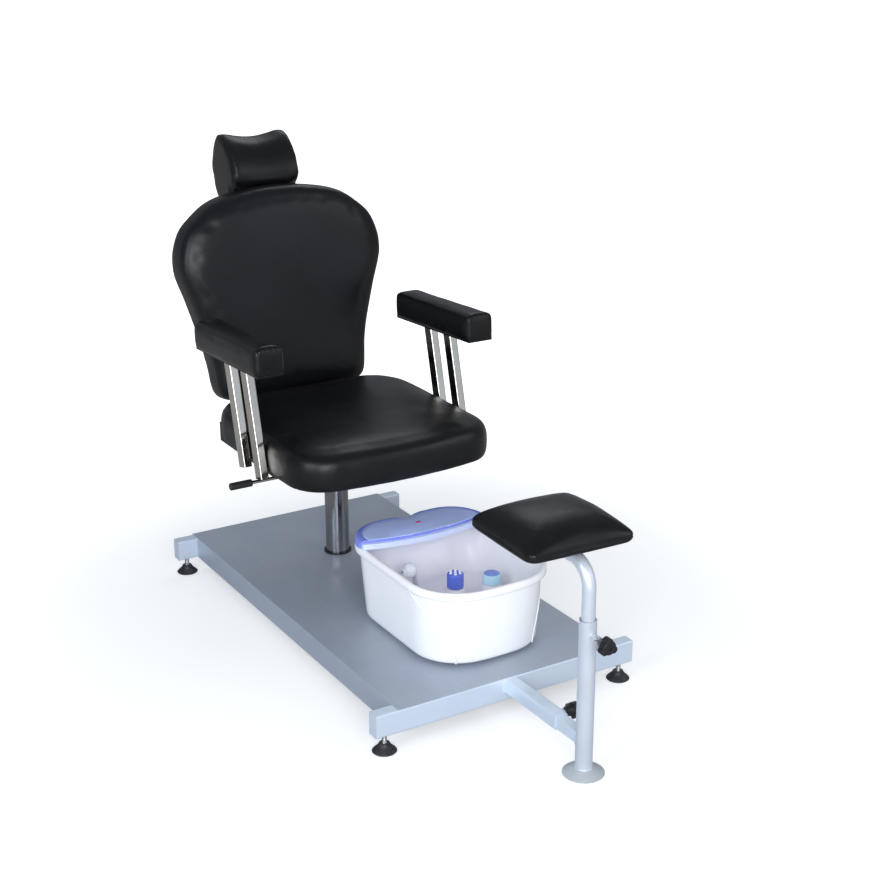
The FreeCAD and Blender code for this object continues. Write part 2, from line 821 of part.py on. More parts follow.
def make_back():
    front_inset = back_round * 0.55
    wires = [
        back_wire(back_crown_border, -back_crown),
        back_wire(front_inset, 0.0),
        back_wire(front_inset * 0.3, back_round * 0.35),
        back_wire(0.0, back_round),
        back_wire(0.0, back_thick - back_rear_round),
        back_wire(back_rear_round * 0.3, back_thick - back_rear_round * 0.35),
        back_wire(back_rear_round * 0.85, back_thick),
    ]
    cushion = loft(wires, True)
    board_y = back_thick - back_board_thick
    board = Part.Face(back_wire(back_board_border, board_y)).extrude(vec(0, back_board_thick, 0))
    save("back_cushion", lean_back(cushion.cut(board)))

    brackets = []
    screws = []
    for side in (-1.0, 1.0):
        x0, x1 = sorted((side * (bracket_x - bracket_wide / 2.0),
                         side * (bracket_x + bracket_wide / 2.0)))
        foot_drop = (back_base_z - board_low + seat_plate_thick) * back_slope_length
        riser = block(x0, x1, back_thick, back_thick + bracket_thick, -foot_drop - bracket_thick,
                      bracket_up)
        for z in bracket_screw_heights:
            hole_at = vec(side * bracket_x, back_thick - screw_long, z)
            hole = rod(screw_radius, screw_long + bracket_thick, hole_at, Y_AXIS)
            riser = riser.cut(hole)
            board = board.cut(hole)
            shank = rod(screw_radius, back_board_thick - screw_head_high + bracket_thick,
                        vec(side * bracket_x, back_thick - back_board_thick + screw_head_high,
                            z), Y_AXIS)
            head = rod(screw_head_radius, screw_head_high,
                       vec(side * bracket_x, back_thick + bracket_thick, z), Y_AXIS)
            screws.append(lean_back(join([shank, head])))
        riser = lean_back(riser)
        leg_top = board_low
        riser_drop = (back_base_z - board_low) * back_lean_share
        leg_rear = back_front_y + (back_thick + bracket_thick) * back_slope_length - riser_drop
        leg = block(x0, x1, column_y + seat_plate_half, leg_rear, leg_top - bracket_thick, leg_top)
        screw_at = vec(side * bracket_x, column_y + seat_plate_half + bracket_wide / 2.0,
                       leg_top - bracket_thick)
        screws.append(rod(screw_head_radius, screw_head_high, screw_at.sub(vec(0, 0, screw_head_high))))
        keep_above = block(x0 - cut_over, x1 + cut_over, column_y, 2.0 * leg_rear,
                           leg_top - bracket_thick, leg_top + back_high)
        brackets.append(join([leg, riser.common(keep_above)]))
    save("back_brackets", group(brackets))

    guide_half = post_wide / 2.0 + guide_wall
    guide = block(-guide_half - guide_ear, guide_half + guide_ear, back_thick, back_thick + guide_wall,
                  guide_low, guide_low + guide_high)
    sleeve = block(-guide_half, guide_half, back_thick, back_thick + 2.0 * guide_wall + post_thick,
                   guide_low, guide_low + guide_high)
    guide = join([guide, sleeve])
    slot_y = back_thick + guide_wall
    slot_half = post_wide / 2.0 + slip
    slot_top = guide_low + guide_high + cut_over
    guide = guide.cut(block(-slot_half, slot_half, slot_y - slip, slot_y + post_thick + slip,
                            guide_low - cut_over, slot_top))
    for side in (-1.0, 1.0):
        for z in (guide_low + guide_ear, guide_low + guide_high - guide_ear):
            x = side * (guide_half + guide_ear / 2.0)
            start = back_thick - back_board_thick + screw_head_high
            board = board.cut(rod(screw_radius, screw_long, vec(x, start, z), Y_AXIS))
            guide = guide.cut(rod(screw_radius, 2.0 * screw_long, vec(x, start, z), Y_AXIS))
            shank = rod(screw_radius, back_board_thick - screw_head_high + guide_wall, vec(x, start, z),
                        Y_AXIS)
            head = rod(screw_head_radius, screw_head_high, vec(x, back_thick + guide_wall, z), Y_AXIS)
            screws.append(lean_back(join([shank, head])))
    save("back_board", lean_back(board))
    save("headrest_guide", lean_back(guide))
    return screws


def head_wire(x, share):
    """The headrest's side outline at one x, shrunk towards its middle by a share."""
    mid_y = (head_front_y + head_rear_y) / 2.0
    mid_z = (head_low_z + head_top_z) / 2.0

    def at(y, z):
        return vec(x, mid_y + (y - mid_y) * share, mid_z + (z - mid_z) * share)

    low_front = at(head_front_low_y, head_low_z)
    throat = at(head_front_low_y, head_throat_z)
    low_rear = at(head_rear_low_y, head_low_z)
    brow = at(head_brow_y, head_brow_z)
    crest = at(head_crest_y, head_crest_z)
    edges = [
        line(low_front, throat),
        arc(throat, at(head_front_y, head_front_z), brow),
        arc(brow, at(head_top_y, head_top_z), crest),
        arc(crest, at(head_rear_y, head_rear_z), low_rear),
        line(low_rear, low_front),
    ]
    return Part.Wire(edges)


def make_headrest():
    rights = [head_wire(out * head_half, share) for out, share in head_section_shares]
    lefts = [head_wire(-out * head_half, share) for out, share in head_section_shares[:0:-1]]
    cushion = loft(lefts + rights, True)
    post_y = back_thick + guide_wall
    head_rise = (head_low_z - back_base_z) * back_slope_length
    board = block(-head_board_half, head_board_half, post_y + post_thick,
                  post_y + post_thick + head_board_thick,
                  head_rise + head_board_low, head_rise + head_board_high)
    post = block(-post_wide / 2.0, post_wide / 2.0, post_y, post_y + post_thick, post_low,
                 head_rise + head_board_high)
    board = lean_back(board)
    post = lean_back(post)
    save("headrest_post", post)
    save("headrest_board", board)
    save("headrest_cushion", cushion.cut(board).cut(post))


# Footrest


def knob_pieces(base, axis, stem):
    """A clamp screw and its lobed head, drawn from the boss face outwards along +Z, then aimed."""
    head_low = stem + knob_neck_long
    neck = Part.makeCone(knob_neck_radius, knob_head_radius, knob_neck_long, vec(0, 0, stem))
    pieces = [neck, rod(knob_head_radius, knob_head_long, vec(0, 0, head_low))]
    for count in range(3):
        turn = math.radians(120.0 * count + 90.0)
        lobe = rod(knob_lobe_radius, knob_head_long,
                   vec(knob_lobe_out * math.cos(turn), knob_lobe_out * math.sin(turn), head_low))
        pieces.append(lobe)
    head = join(pieces)
    head = round_edges(head, knob_cap_deep,
                       lambda e: e.BoundBox.ZMin > head_low + knob_head_long - hair)
    face = head_low + knob_head_long
    head = head.cut(rod(knob_cap_radius, knob_cap_deep + cut_over, vec(0, 0, face - knob_cap_deep)))
    head = head.cut(rod(knob_screw_radius, knob_blind, vec(0, 0, stem)))
    screw = rod(knob_screw_radius, knob_blind + stem, vec(0, 0, 0))
    placement = FreeCAD.Placement(base, FreeCAD.Rotation(Z_AXIS, axis))
    head.Placement = placement
    screw.Placement = placement
    return head, screw


def make_footrest():
    half = socket_out / 2.0
    z0 = socket_centre_z - half
    z1 = socket_centre_z + half
    socket = square_tube(-half, half, socket_end_y, 0, z0, z1, socket_wall, Y_AXIS, 2.0 * socket_wall)
    boss = rod(boss_radius, boss_long + socket_wall / 2.0,
               vec(half - socket_wall / 2.0, reach_knob_y, socket_centre_z),
               X_AXIS)
    socket = join([socket, boss])
    screw_hole = rod(knob_screw_radius + slip, boss_long + 2.0 * cut_over,
                     vec(half - socket_wall - cut_over + hair, reach_knob_y, socket_centre_z), X_AXIS)
    save("footrest_socket", socket.cut(screw_hole))

    bar_half = half - socket_wall - socket_gap
    bar = square_tube(-bar_half, bar_half, footrest_y, slide_bar_end_y, socket_centre_z - bar_half,
                      socket_centre_z + bar_half, slide_bar_wall, Y_AXIS, slide_bar_wall + socket_gap)
    bar = bar.cut(rod(sleeve_outer, sleeve_top, vec(0, footrest_y, 0)))
    save("footrest_slide_bar", bar)

    sleeve = ring(sleeve_outer, sleeve_bore, sleeve_top - flange_rim_high,
                  vec(0, footrest_y, flange_rim_high))
    back = Y_AXIS.negative()
    boss_start = vec(0, footrest_y - sleeve_bore - socket_wall / 2.0, height_knob_z)
    boss = rod(boss_radius, sleeve_outer - sleeve_bore - socket_wall / 2.0 + boss_long, boss_start,
               back)
    sleeve = join([sleeve, boss])
    sleeve = sleeve.cut(rod(knob_screw_radius + slip, 2.0 * sleeve_outer,
                            vec(0, footrest_y, height_knob_z), back))
    save("footrest_sleeve", sleeve)

    profile = [
        (0.0, 0.0),
        (flange_radius, 0.0),
        (flange_radius, flange_rim_high / 2.0),
        (flange_radius - flange_rim_high, flange_rim_high),
        ((flange_radius + flange_neck_radius) / 2.0, flange_neck_high * 0.55),
        (flange_neck_radius, flange_neck_high * 0.9),
        (sleeve_outer, flange_neck_high),
        (sleeve_outer, flange_rim_high),
        (0.0, flange_rim_high),
    ]
    save("footrest_floor_flange", spin(profile, vec(0, footrest_y, 0)))

    plug_low = mast_low - plug_high
    plug = join([
        rod(sleeve_bore - slip, plug_high, vec(0, footrest_y, plug_low)),
        rod(mast_bore - slip, plug_spigot, vec(0, footrest_y, mast_low)),
    ])
    save("mast_plug", plug)

    bend_centre = vec(0, footrest_y + mast_bend_radius, mast_bend_start)
    turn = math.sqrt(0.5) * mast_bend_radius
    top_z = mast_bend_start + mast_bend_radius
    run_start = vec(0, footrest_y + mast_bend_radius, top_z)
    run_end = vec(0, run_start.y + mast_run, top_z)
    path = Part.Wire([
        line(vec(0, footrest_y, mast_low), vec(0, footrest_y, mast_bend_start)),
        arc(vec(0, footrest_y, mast_bend_start),
            vec(0, bend_centre.y - turn, bend_centre.z + turn), run_start),
        line(run_start, run_end),
    ])
    tubes = []
    for radius in (mast_radius, mast_bore):
        section = Part.Wire([Part.Circle(vec(0, footrest_y, mast_low), Z_AXIS, radius).toShape()])
        tubes.append(path.makePipeShell([section], True, False))
    mast = tubes[0].cut(tubes[1])
    plate_low = top_z + mast_radius - hair
    rest_mid = rest_front + rest_long / 2.0
    plate = block(-mast_plate_half, mast_plate_half, rest_mid - mast_plate_half,
                  rest_mid + mast_plate_half,
                  plate_low, plate_low + mast_plate_thick)
    save("footrest_mast", join([mast, plate]))

    board_low_z = plate_low + mast_plate_thick
    board_half = rest_half - rest_board_inset
    board = block(-board_half, board_half, rest_front + rest_board_inset,
                  rest_front + rest_long - rest_board_inset, board_low_z, board_low_z + rest_board_thick)
    board = round_edges(board, rest_corner / 2.0, lambda e: edge_along(e, Z_AXIS))
    save("footrest_board", board)

    def rest_wire(inset, z, corner):
        return plan_wire(rest_half - inset, rest_front + inset, rest_front + rest_long - inset,
                         corner, corner, hair, z)

    base_z = board_low_z + rest_board_thick
    wires = [
        rest_wire(rest_edge / 4.0, base_z, rest_corner),
        rest_wire(0.0, base_z + rest_edge * 0.4, rest_corner),
        rest_wire(rest_edge * 0.5, base_z + rest_edge, rest_corner),
        rest_wire(rest_half * 0.22, base_z + rest_edge + rest_crown * 0.5, rest_corner * 1.3),
        rest_wire(rest_half * 0.45, base_z + rest_edge + rest_crown * 0.85, rest_corner * 1.2),
        rest_wire(rest_half * 0.7, base_z + rest_edge + rest_crown, rest_corner),
    ]
    save("footrest_cushion", loft(wires, True))

    head, screw = knob_pieces(vec(0, sleeve_front_y - boss_long, height_knob_z), back, height_knob_stem)
    tip = mast_radius + hair
    reach = sleeve_outer + boss_long - tip
    screw = join([screw, rod(knob_screw_radius, reach,
                             vec(0, sleeve_front_y - boss_long, height_knob_z), Y_AXIS)])
    save("height_knob", head)
    save("height_knob_screw", screw)
    head, screw = knob_pieces(vec(half + boss_long, reach_knob_y, socket_centre_z), X_AXIS,
                              reach_knob_stem)
    reach = half + boss_long - bar_half - hair
    screw = join([screw, rod(knob_screw_radius, reach,
                             vec(half + boss_long, reach_knob_y, socket_centre_z),
                             X_AXIS.negative())])
    save("reach_knob", head)
    save("reach_knob_screw", screw)


# Foot bath


def bath_wire(inset, z, rear_inset=0.0):
    """The bath's outline at a height, splayed with the walls and drawn in by inset."""
    rise = (z - bath_base_z) / (bath_rim_z - bath_base_z)
    half = bath_base_half + bath_splay * rise - inset
    front = bath_front - bath_front_splay * rise + inset
    rear = bath_rear + bath_rear_splay * rise - inset - rear_inset
    return plan_wire(half, front, rear, bath_corner_front - inset, bath_corner_rear - inset, bath_bow,
                     z)


def save_bath(name, shape):
    """Write one piece of the foot bath, which stands a little to one side of the middle."""
    placed = shape.copy()
    placed.translate(vec(bath_x, 0, 0))
    save(name, placed)


def make_bath():
    shell_top = bath_rim_z - bath_crest_drop - bath_rim_thick
    soft = 2.0 * bath_wall
    outer = loft([
        bath_wire(soft, bath_base_z),
        bath_wire(soft / 4.0, bath_base_z + soft / 2.0),
        bath_wire(0.0, bath_base_z + 2.0 * soft),
        bath_wire(0.0, shell_top),
    ], True)
    inner = loft([
        bath_wire(soft + bath_wall, bath_base_z + bath_wall),
        bath_wire(bath_wall, bath_base_z + 2.0 * soft),
        bath_wire(bath_wall, shell_top + cut_over),
    ], True)
    shell = outer.cut(inner)
    gland_y = bath_rear - bath_wall
    gland_x = -bath_foot_x * 0.5
    shell = shell.cut(rod(gland_radius * 0.6, 8.0 * bath_wall,
                          vec(gland_x, gland_y - 2.0 * bath_wall, gland_z), Y_AXIS))
    save_bath("bath_shell", shell)
    wall_y = bath_rear + bath_rear_splay * (gland_z - bath_base_z) / (bath_rim_z - bath_base_z)
    collar_y = wall_y + gland_radius * bath_rear_splay / (bath_rim_z - bath_base_z) + slip
    collar = rod(gland_radius, gland_long, vec(gland_x, collar_y, gland_z), Y_AXIS)
    neck = rod(gland_radius * 0.6 - slip, gland_long, vec(gland_x, wall_y - 2.0 * bath_wall, gland_z),
               Y_AXIS)
    gland = join([collar, neck]).cut(rod(gland_radius * 0.3, 4.0 * gland_long,
                                         vec(gland_x, wall_y - gland_long, gland_z), Y_AXIS))
    save_bath("bath_cord_gland", gland)

    lip = loft([bath_wire(-bath_rim_out, bath_rim_z - bath_rim_drop),
                bath_wire(-bath_rim_out, bath_rim_z - bath_rim_thick),
                bath_wire(-bath_rim_out + bath_rim_thick, bath_rim_z)], True)
    lip_hollow = loft([bath_wire(-bath_rim_out + bath_rim_thick, bath_rim_z - bath_rim_drop - cut_over),
                       bath_wire(-bath_rim_out + bath_rim_thick, shell_top)], True)
    mouth = bath_rim_in
    floor_in = bath_rim_in + bath_floor_draft
    floor_rear = basin_rear_inset * 0.8
    shelf_rear = basin_rear_inset * 0.6
    mouth_rear = basin_rear_inset * 0.2
    shelf_in = floor_in - bath_floor_draft * 0.4
    crest_low = bath_rim_z - bath_crest_drop
    well_outer = loft([
        bath_wire(floor_in, bath_floor_z - bath_wall, floor_rear),
        bath_wire(shelf_in - bath_wall, bath_floor_z + bath_floor_draft, shelf_rear),
        bath_wire(mouth - bath_wall, shell_top, mouth_rear),
    ], True)
    well_inner = loft([
        bath_wire(floor_in + bath_wall, bath_floor_z, floor_rear),
        bath_wire(shelf_in, bath_floor_z + bath_floor_draft, shelf_rear),
        bath_wire(mouth, crest_low, mouth_rear),
        bath_wire(bath_crest_in, bath_rim_z, mouth_rear),
        bath_wire(bath_crest_in, bath_rim_z + cut_over, mouth_rear),
    ], True)
    basin = lip.cut(lip_hollow).fuse(well_outer).cut(well_inner)
    plinth_top = bath_floor_z + plinth_high
    pieces = [basin.removeSplitter()]
    for x, y in ((nodule_x, nodule_y), (cap_x, cap_y)):
        pieces.append(rod(plinth_radius, plinth_high + bath_wall / 2.0,
                          vec(x, y, bath_floor_z - bath_wall / 2.0)))
        pieces.append(rod(spigot_radius, spigot_high, vec(x, y, plinth_top)))
    cheek_gap = roller_radius * 0.8
    for side in (-1.0, 1.0):
        x0, x1 = sorted((roller_x + side * cheek_gap, roller_x + side * (cheek_gap + roller_cheek)))
        cheek = block(x0, x1, roller_y - roller_radius * 0.6, roller_y + roller_radius * 0.6,
                      bath_floor_z - bath_wall / 2.0, bath_floor_z + roller_lift + roller_radius * 0.4)
        hole = rod(roller_axle + slip, roller_cheek + 2.0 * cut_over,
                   vec(x0 - cut_over, roller_y, bath_floor_z + roller_lift), X_AXIS)
        pieces.append(cheek.cut(hole))
    save_bath("bath_basin", join(pieces))

    roller = Part.makeSphere(roller_radius, vec(roller_x, roller_y, bath_floor_z + roller_lift))
    reach = cheek_gap - slip * 4.0
    roller = roller.common(block(roller_x - reach, roller_x + reach, roller_y - roller_radius,
                                 roller_y + roller_radius, bath_floor_z, bath_rim_z))
    axle_half = cheek_gap + roller_cheek
    axle = rod(roller_axle, 2.0 * axle_half,
               vec(roller_x - axle_half, roller_y, bath_floor_z + roller_lift), X_AXIS)
    save_bath("bath_roller", join([roller, axle]))

    base = vec(nodule_x, nodule_y, plinth_top + hair)
    head = rod(nodule_radius, nodule_high, base)
    head_top = base.z + nodule_high
    head = round_edges(head, nodule_bead, lambda e: edge_above(e, head_top))
    beads = [head]
    for count in range(6):
        turn = math.radians(60.0 * count)
        beads.append(Part.makeSphere(nodule_bead, vec(
            nodule_x + nodule_bead_ring * math.cos(turn), nodule_y + nodule_bead_ring * math.sin(turn),
            base.z + nodule_high)))
    beads.append(Part.makeSphere(nodule_bead, vec(nodule_x, nodule_y, base.z + nodule_high)))
    well = rod(spigot_radius + slip, spigot_high + hair, base)
    save_bath("bath_nodule_head", join(beads).cut(well))

    cap_base = vec(cap_x, cap_y, plinth_top + hair)
    cap = Part.makeCone(cap_radius, cap_radius * 0.86, cap_high, cap_base)
    cap = round_edges(cap, nodule_bead, lambda e: edge_above(e, cap_base.z + cap_high))
    cap = cap.cut(rod(spigot_radius + slip, spigot_high + hair, cap_base))
    save_bath("bath_round_cap", cap)

    def cover_solid(inset, height_share):
        wires = []
        for rise_share, inset_share in cover_profile_shares:
            wires.append(bath_wire(-bath_rim_out + inset + inset_share * cover_round,
                                   bath_rim_z + rise_share * height_share * cover_high))
        return loft(wires, True)

    dome = cover_solid(0.0, 1.0)
    hollow = cover_solid(cover_shell, 0.88)
    front = Part.Face(Part.Wire([
        arc(vec(-deck_half, cover_front_y + cover_bow * 3.0, 0), vec(0, cover_front_y, 0),
            vec(deck_half, cover_front_y + cover_bow * 3.0, 0)),
        line(vec(deck_half, cover_front_y + cover_bow * 3.0, 0),
             vec(deck_half, bath_rear + deck_half, 0)),
        line(vec(deck_half, bath_rear + deck_half, 0), vec(-deck_half, bath_rear + deck_half, 0)),
        line(vec(-deck_half, bath_rear + deck_half, 0),
             vec(-deck_half, cover_front_y + cover_bow * 3.0, 0)),
    ])).extrude(vec(0, 0, bath_rim_z + 2.0 * cover_high))
    notch_y = bath_rear + bath_rear_splay + bath_rim_out - cover_notch_deep
    notch = block(-cover_notch_half, cover_notch_half, notch_y, notch_y + 3.0 * cover_notch_deep,
                  bath_rim_z - cut_over, bath_rim_z + 2.0 * cover_high)
    notch = round_edges(notch, cover_notch_deep * 0.8, lambda e: edge_along(e, Z_AXIS))
    behind = front.copy()
    behind.translate(vec(0, cover_shell, 0))
    cover = dome.common(front).cut(hollow.common(behind)).cut(notch)
    lamp_y = cover_front_y + lamp_back
    lamp_base = bath_rim_z + cover_high - lamp_high * 2.0
    lamp_tall = lamp_high * 3.0
    lamp_end = lamp_half_x - lamp_half_y
    lamp = join([
        rod(lamp_half_y, lamp_tall, vec(lamp_place_x - lamp_end, lamp_y, lamp_base)),
        rod(lamp_half_y, lamp_tall, vec(lamp_place_x + lamp_end, lamp_y, lamp_base)),
        block(lamp_place_x - lamp_end, lamp_place_x + lamp_end, lamp_y - lamp_half_y, lamp_y + lamp_half_y,
              lamp_base, lamp_base + lamp_tall),
    ])
    save_bath("bath_cover", cover.cut(lamp))
    save_bath("bath_lamp", lamp)

    strip_top = bath_rim_z + fascia_high
    strip_zone = front.copy()
    strip_zone.translate(vec(0, -fascia_deep, 0))
    strip_zone = strip_zone.cut(front)
    strip = loft([bath_wire(-bath_rim_out + cover_shell, bath_rim_z),
                  bath_wire(-bath_rim_out + 2.0 * cover_shell, strip_top)], True).common(strip_zone)
    save_bath("bath_fascia", strip)

    feet = []
    for x in (-bath_foot_x, bath_foot_x):
        for y in (bath_foot_front, bath_foot_rear):
            feet.append(rod(bath_foot_radius, bath_base_z - deck_top, vec(x, y, deck_top)))
    save_bath("bath_feet", group(feet))


def main():
    make_base()
    make_levellers()
    make_column()
    make_seat_plate()
    make_lever()
    make_seat()
    screws = make_arms()
    screws += make_back()
    plate_low = board_low - seat_plate_thick
    for sx in (-1.0, 1.0):
        for sy in (-1.0, 1.0):
            at = vec(sx * seat_screw_offset, column_y + sy * seat_screw_offset, plate_low)
            head = rod(screw_head_radius, screw_head_high, at.sub(vec(0, 0, screw_head_high)))
            screws.append(head)
    save("chair_screws", group(screws))
    make_headrest()
    make_footrest()
    make_bath()


main()
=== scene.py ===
from math import atan, atan2, copysign, cos, hypot, pi, radians, sin, sqrt
import bmesh
import bpy
from mathutils import Matrix, Vector, noise


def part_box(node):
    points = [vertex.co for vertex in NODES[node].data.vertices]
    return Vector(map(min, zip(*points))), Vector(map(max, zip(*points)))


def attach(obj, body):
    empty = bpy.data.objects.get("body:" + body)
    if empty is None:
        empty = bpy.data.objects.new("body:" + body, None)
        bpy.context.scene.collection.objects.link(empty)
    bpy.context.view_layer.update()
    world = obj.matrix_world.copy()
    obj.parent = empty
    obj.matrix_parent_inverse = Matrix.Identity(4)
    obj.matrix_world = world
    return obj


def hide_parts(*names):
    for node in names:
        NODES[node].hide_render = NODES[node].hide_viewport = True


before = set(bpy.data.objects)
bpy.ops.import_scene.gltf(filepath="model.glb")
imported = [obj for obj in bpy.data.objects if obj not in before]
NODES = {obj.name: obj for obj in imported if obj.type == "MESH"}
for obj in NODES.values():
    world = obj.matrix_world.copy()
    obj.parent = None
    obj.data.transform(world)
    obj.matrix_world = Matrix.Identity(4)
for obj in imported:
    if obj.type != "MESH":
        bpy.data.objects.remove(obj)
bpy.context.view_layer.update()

# Lengths are metres, in the frame of the solids: +Y runs to the back of the chair, +X to the
# sitter's left and +Z up, with the origin on the floor in the middle of the bench.

# Camera, solved from the corners of the base frame
camera_place = (-1.562, -2.765, 1.5835)
camera_turn = radians(-31.32)
camera_tilt = radians(19.71)
camera_roll = radians(-0.1)
camera_focal_pixels = 1552.6
picture_pixels = 894.0

# Seat, with the reach that keeps its cover clear of the arm bars
seat_front = -0.045075
seat_rear = 0.486925
seat_half = 0.2475
seat_low = 0.3825
seat_bow = 0.012
seat_corners = (0.092, 0.110)
seat_reach = 0.247

# Backrest, drawn upright and then leaned back
back_place = Vector((0.0, 0.489925, 0.4345))
back_lean = atan(0.12)
back_high = 0.504
back_half = 0.2655
back_board_front = 0.0876
back_outline = (
    (0.200, 0.034), (0.2055, 0.112), (0.225, 0.190), (0.243, 0.253), (0.262, 0.303),
    (0.2655, 0.350), (0.252, 0.398), (0.237, 0.424), (0.215, 0.443), (0.171, 0.476),
    (0.120, 0.4915), (0.000, 0.504),
)

# Headrest, with its side outline as (y, z)
head_half = 0.088
head_low = 0.8735
head_middle = (0.694425, 0.957)
head_outline = (
    (0.640925, 0.874), (0.641, 0.896), (0.638, 0.915), (0.6240, 0.931), (0.6205, 0.949),
    (0.6262, 0.972), (0.636, 0.992), (0.652, 1.011), (0.675, 1.030), (0.700, 1.040),
    (0.722, 1.040), (0.738, 1.029), (0.754, 1.004), (0.763, 0.978), (0.765, 0.957),
    (0.760, 0.925), (0.748, 0.898), (0.725, 0.874), (0.680, 0.872),
)

# Arm pads
pad_front = 0.077925
pad_low = 0.6255
pad_long = 0.340
pad_wide = 0.073
pad_tall = 0.066
pad_x = 0.2605
pad_slope = atan(0.0145 / pad_long)

# Footrest
mast_y = -0.696075
rest_low = 0.458
rest_board_low = rest_low - 0.0098
rest_half = 0.122
rest_front = -0.689575
rest_long = 0.230
rest_middle_y = rest_front + rest_long / 2.0
rest_twist = radians(-2.2)
socket_size = (0.015, 0.0575, 0.0875)
slide_bar_size = (0.0125, 0.0600, 0.0850)
sleeve_radius = 0.01685
flange_top = 0.0133

# Foot bath
bath_x = 0.0185
bath_base = 0.0965
bath_rim = 0.2635
bath_front = -0.373475
bath_rear = -0.006075
bath_half = 0.142
bath_corners = (0.106, 0.078)
bath_splays = (0.007, 0.0086, 0.017)
bath_wall = 0.0022
basin_floor = 0.1575
plinth_top = 0.1835
turned_foot = plinth_top + 0.0004
nodule_place = (0.0225, -0.194075)
cap_place = (0.1015, -0.215075)
roller_place = (-0.0435, -0.113075, 0.2075)
roller_radius = 0.0165
stud_pitch = (0.0285, 0.030)
stud_clearance = 0.032
cover_front = -0.098075
cover_overhang = 0.0097

# How a cushion's cover is simulated
cover_frames = 20
cover_sink = 0.0006
cover_cloth = {
    "quality": 4, "mass": 0.35, "tension_stiffness": 12.0, "compression_stiffness": 12.0,
    "bending_stiffness": 0.6, "use_pressure": True, "uniform_pressure_force": 4.0,
    "vertex_group_mass": "on_board",
}

# Lamps: place, target, width, height, power and colour, and the floor they stand on
lamps = {
    "front_softbox": ((-1.6, -3.6, 1.5), (0.0, 0.0, 0.35), 2.4, 1.8, 95.0, (0.96, 0.98, 1.0)),
    "side_softbox": ((-2.8, -1.2, 1.5), (0.0, 0.1, 0.5), 1.1, 1.8, 34.0, (0.80, 0.89, 1.0)),
    "window": ((2.0, -3.3, 1.45), (0.0, 0.3, 0.75), 2.4, 2.2, 9.0, (0.80, 0.89, 1.0)),
    "right_softbox": ((2.6, -2.6, 2.2), (0.0, -0.2, 0.3), 1.6, 1.6, 12.0, (1.0, 0.99, 0.97)),
    "rear_softbox": ((1.6, 2.2, 2.8), (0.0, 0.2, 0.7), 1.6, 1.2, 8.0, (0.95, 0.97, 1.0)),
}
floor_half = 30.0
floor_z = -0.0002


# Shader trees


class Shader:
    """A node tree, with short ways to add nodes and to set or link their inputs."""

    def __init__(self, tree):
        self.tree = tree

    def join(self, value, socket):
        """Link a node's output to an input, or set the input. A colour may leave out its alpha."""
        if isinstance(value, bpy.types.NodeSocket):
            self.tree.links.new(value, socket)
        else:
            if socket.type == "RGBA" and len(value) == 3:
                value = tuple(value) + (1.0,)
            socket.default_value = value

    def feed(self, node, **sockets):
        """Link or set a node's inputs by label, with _ for a space in the label."""
        for key, value in sockets.items():
            self.join(value, node.inputs[key.replace("_", " ")])
        return node

    def put(self, kind, options=None, **sockets):
        """Add a node with its options, and feed its inputs."""
        node = self.tree.nodes.new("ShaderNode" + kind)
        for key, value in (options or {}).items():
            setattr(node, key, value)
        return self.feed(node, **sockets)

    def maths(self, operation, first, second, clamp=False):
        node = self.put("Math", {"operation": operation, "use_clamp": clamp})
        self.join(first, node.inputs[0])
        self.join(second, node.inputs[1])
        return node.outputs[0]

    def times(self, first, second):
        return self.maths("MULTIPLY", first, second)

    def between(self, value, low, high, to_low=0.0, to_high=1.0):
        """Map a value from one range to another, smoothly and within its ends."""
        return self.put("MapRange", {"interpolation_type": "SMOOTHSTEP"}, Value=value,
                        From_Min=low, From_Max=high, To_Min=to_low, To_Max=to_high).outputs[0]

    def blend(self, share, first, second):
        node = self.put("Mix", {"data_type": "RGBA"})
        for index, value in ((0, share), (6, first), (7, second)):
            self.join(value, node.inputs[index])
        return node.outputs[2]

    def noise(self, place, scale, detail=3.0, roughness=0.55, stretch=None):
        if stretch is not None:
            place = self.put("Mapping", Scale=stretch, Vector=place).outputs[0]
        return self.put("TexNoise", Vector=place, Scale=scale, Detail=detail,
                        Roughness=roughness).outputs[0]

    def height_of(self, vector):
        return self.put("SeparateXYZ", Vector=vector).outputs["Z"]

    def normal(self):
        return self.put("NewGeometry").outputs["Normal"]


class Group(Shader):
    """A shared shader group with a Place input, its other inputs and its outputs."""

    def __init__(self, name, inputs, outputs):
        super().__init__(bpy.data.node_groups.new(name, "ShaderNodeTree"))
        sockets = self.tree.interface
        for label, value in {"Place": (0, 0, 0), **inputs}.items():
            kind = "Float"
            if not isinstance(value, float):
                kind = "Color" if len(value) == 4 else "Vector"
            socket = sockets.new_socket(label, in_out="INPUT", socket_type="NodeSocket" + kind)
            socket.default_value = value
        for label in outputs:
            kind = "Color" if label == "Colour" else "Float"
            sockets.new_socket(label, in_out="OUTPUT", socket_type="NodeSocket" + kind)
        self.entry = self.tree.nodes.new("NodeGroupInput").outputs
        self.leave = self.tree.nodes.new("NodeGroupOutput").inputs
        self.place = self.entry["Place"]

    def give(self, *values):
        """Join the group's outputs, and hand over its tree."""
        for value, socket in zip(values, self.leave):
            self.join(value, socket)
        return self.tree


def make_mottle():
    """Slow change between two colours over the surface."""
    group = Group("mottled_colour", {"Colour": (1, 1, 1, 1), "Second Colour": (1, 1, 1, 1),
                                     "Scale": 6.0}, ["Colour"])
    share = group.between(group.noise(group.place, group.entry["Scale"], 5.0, 0.6), 0.35, 0.68)
    return group.give(group.blend(share, group.entry["Colour"], group.entry["Second Colour"]))


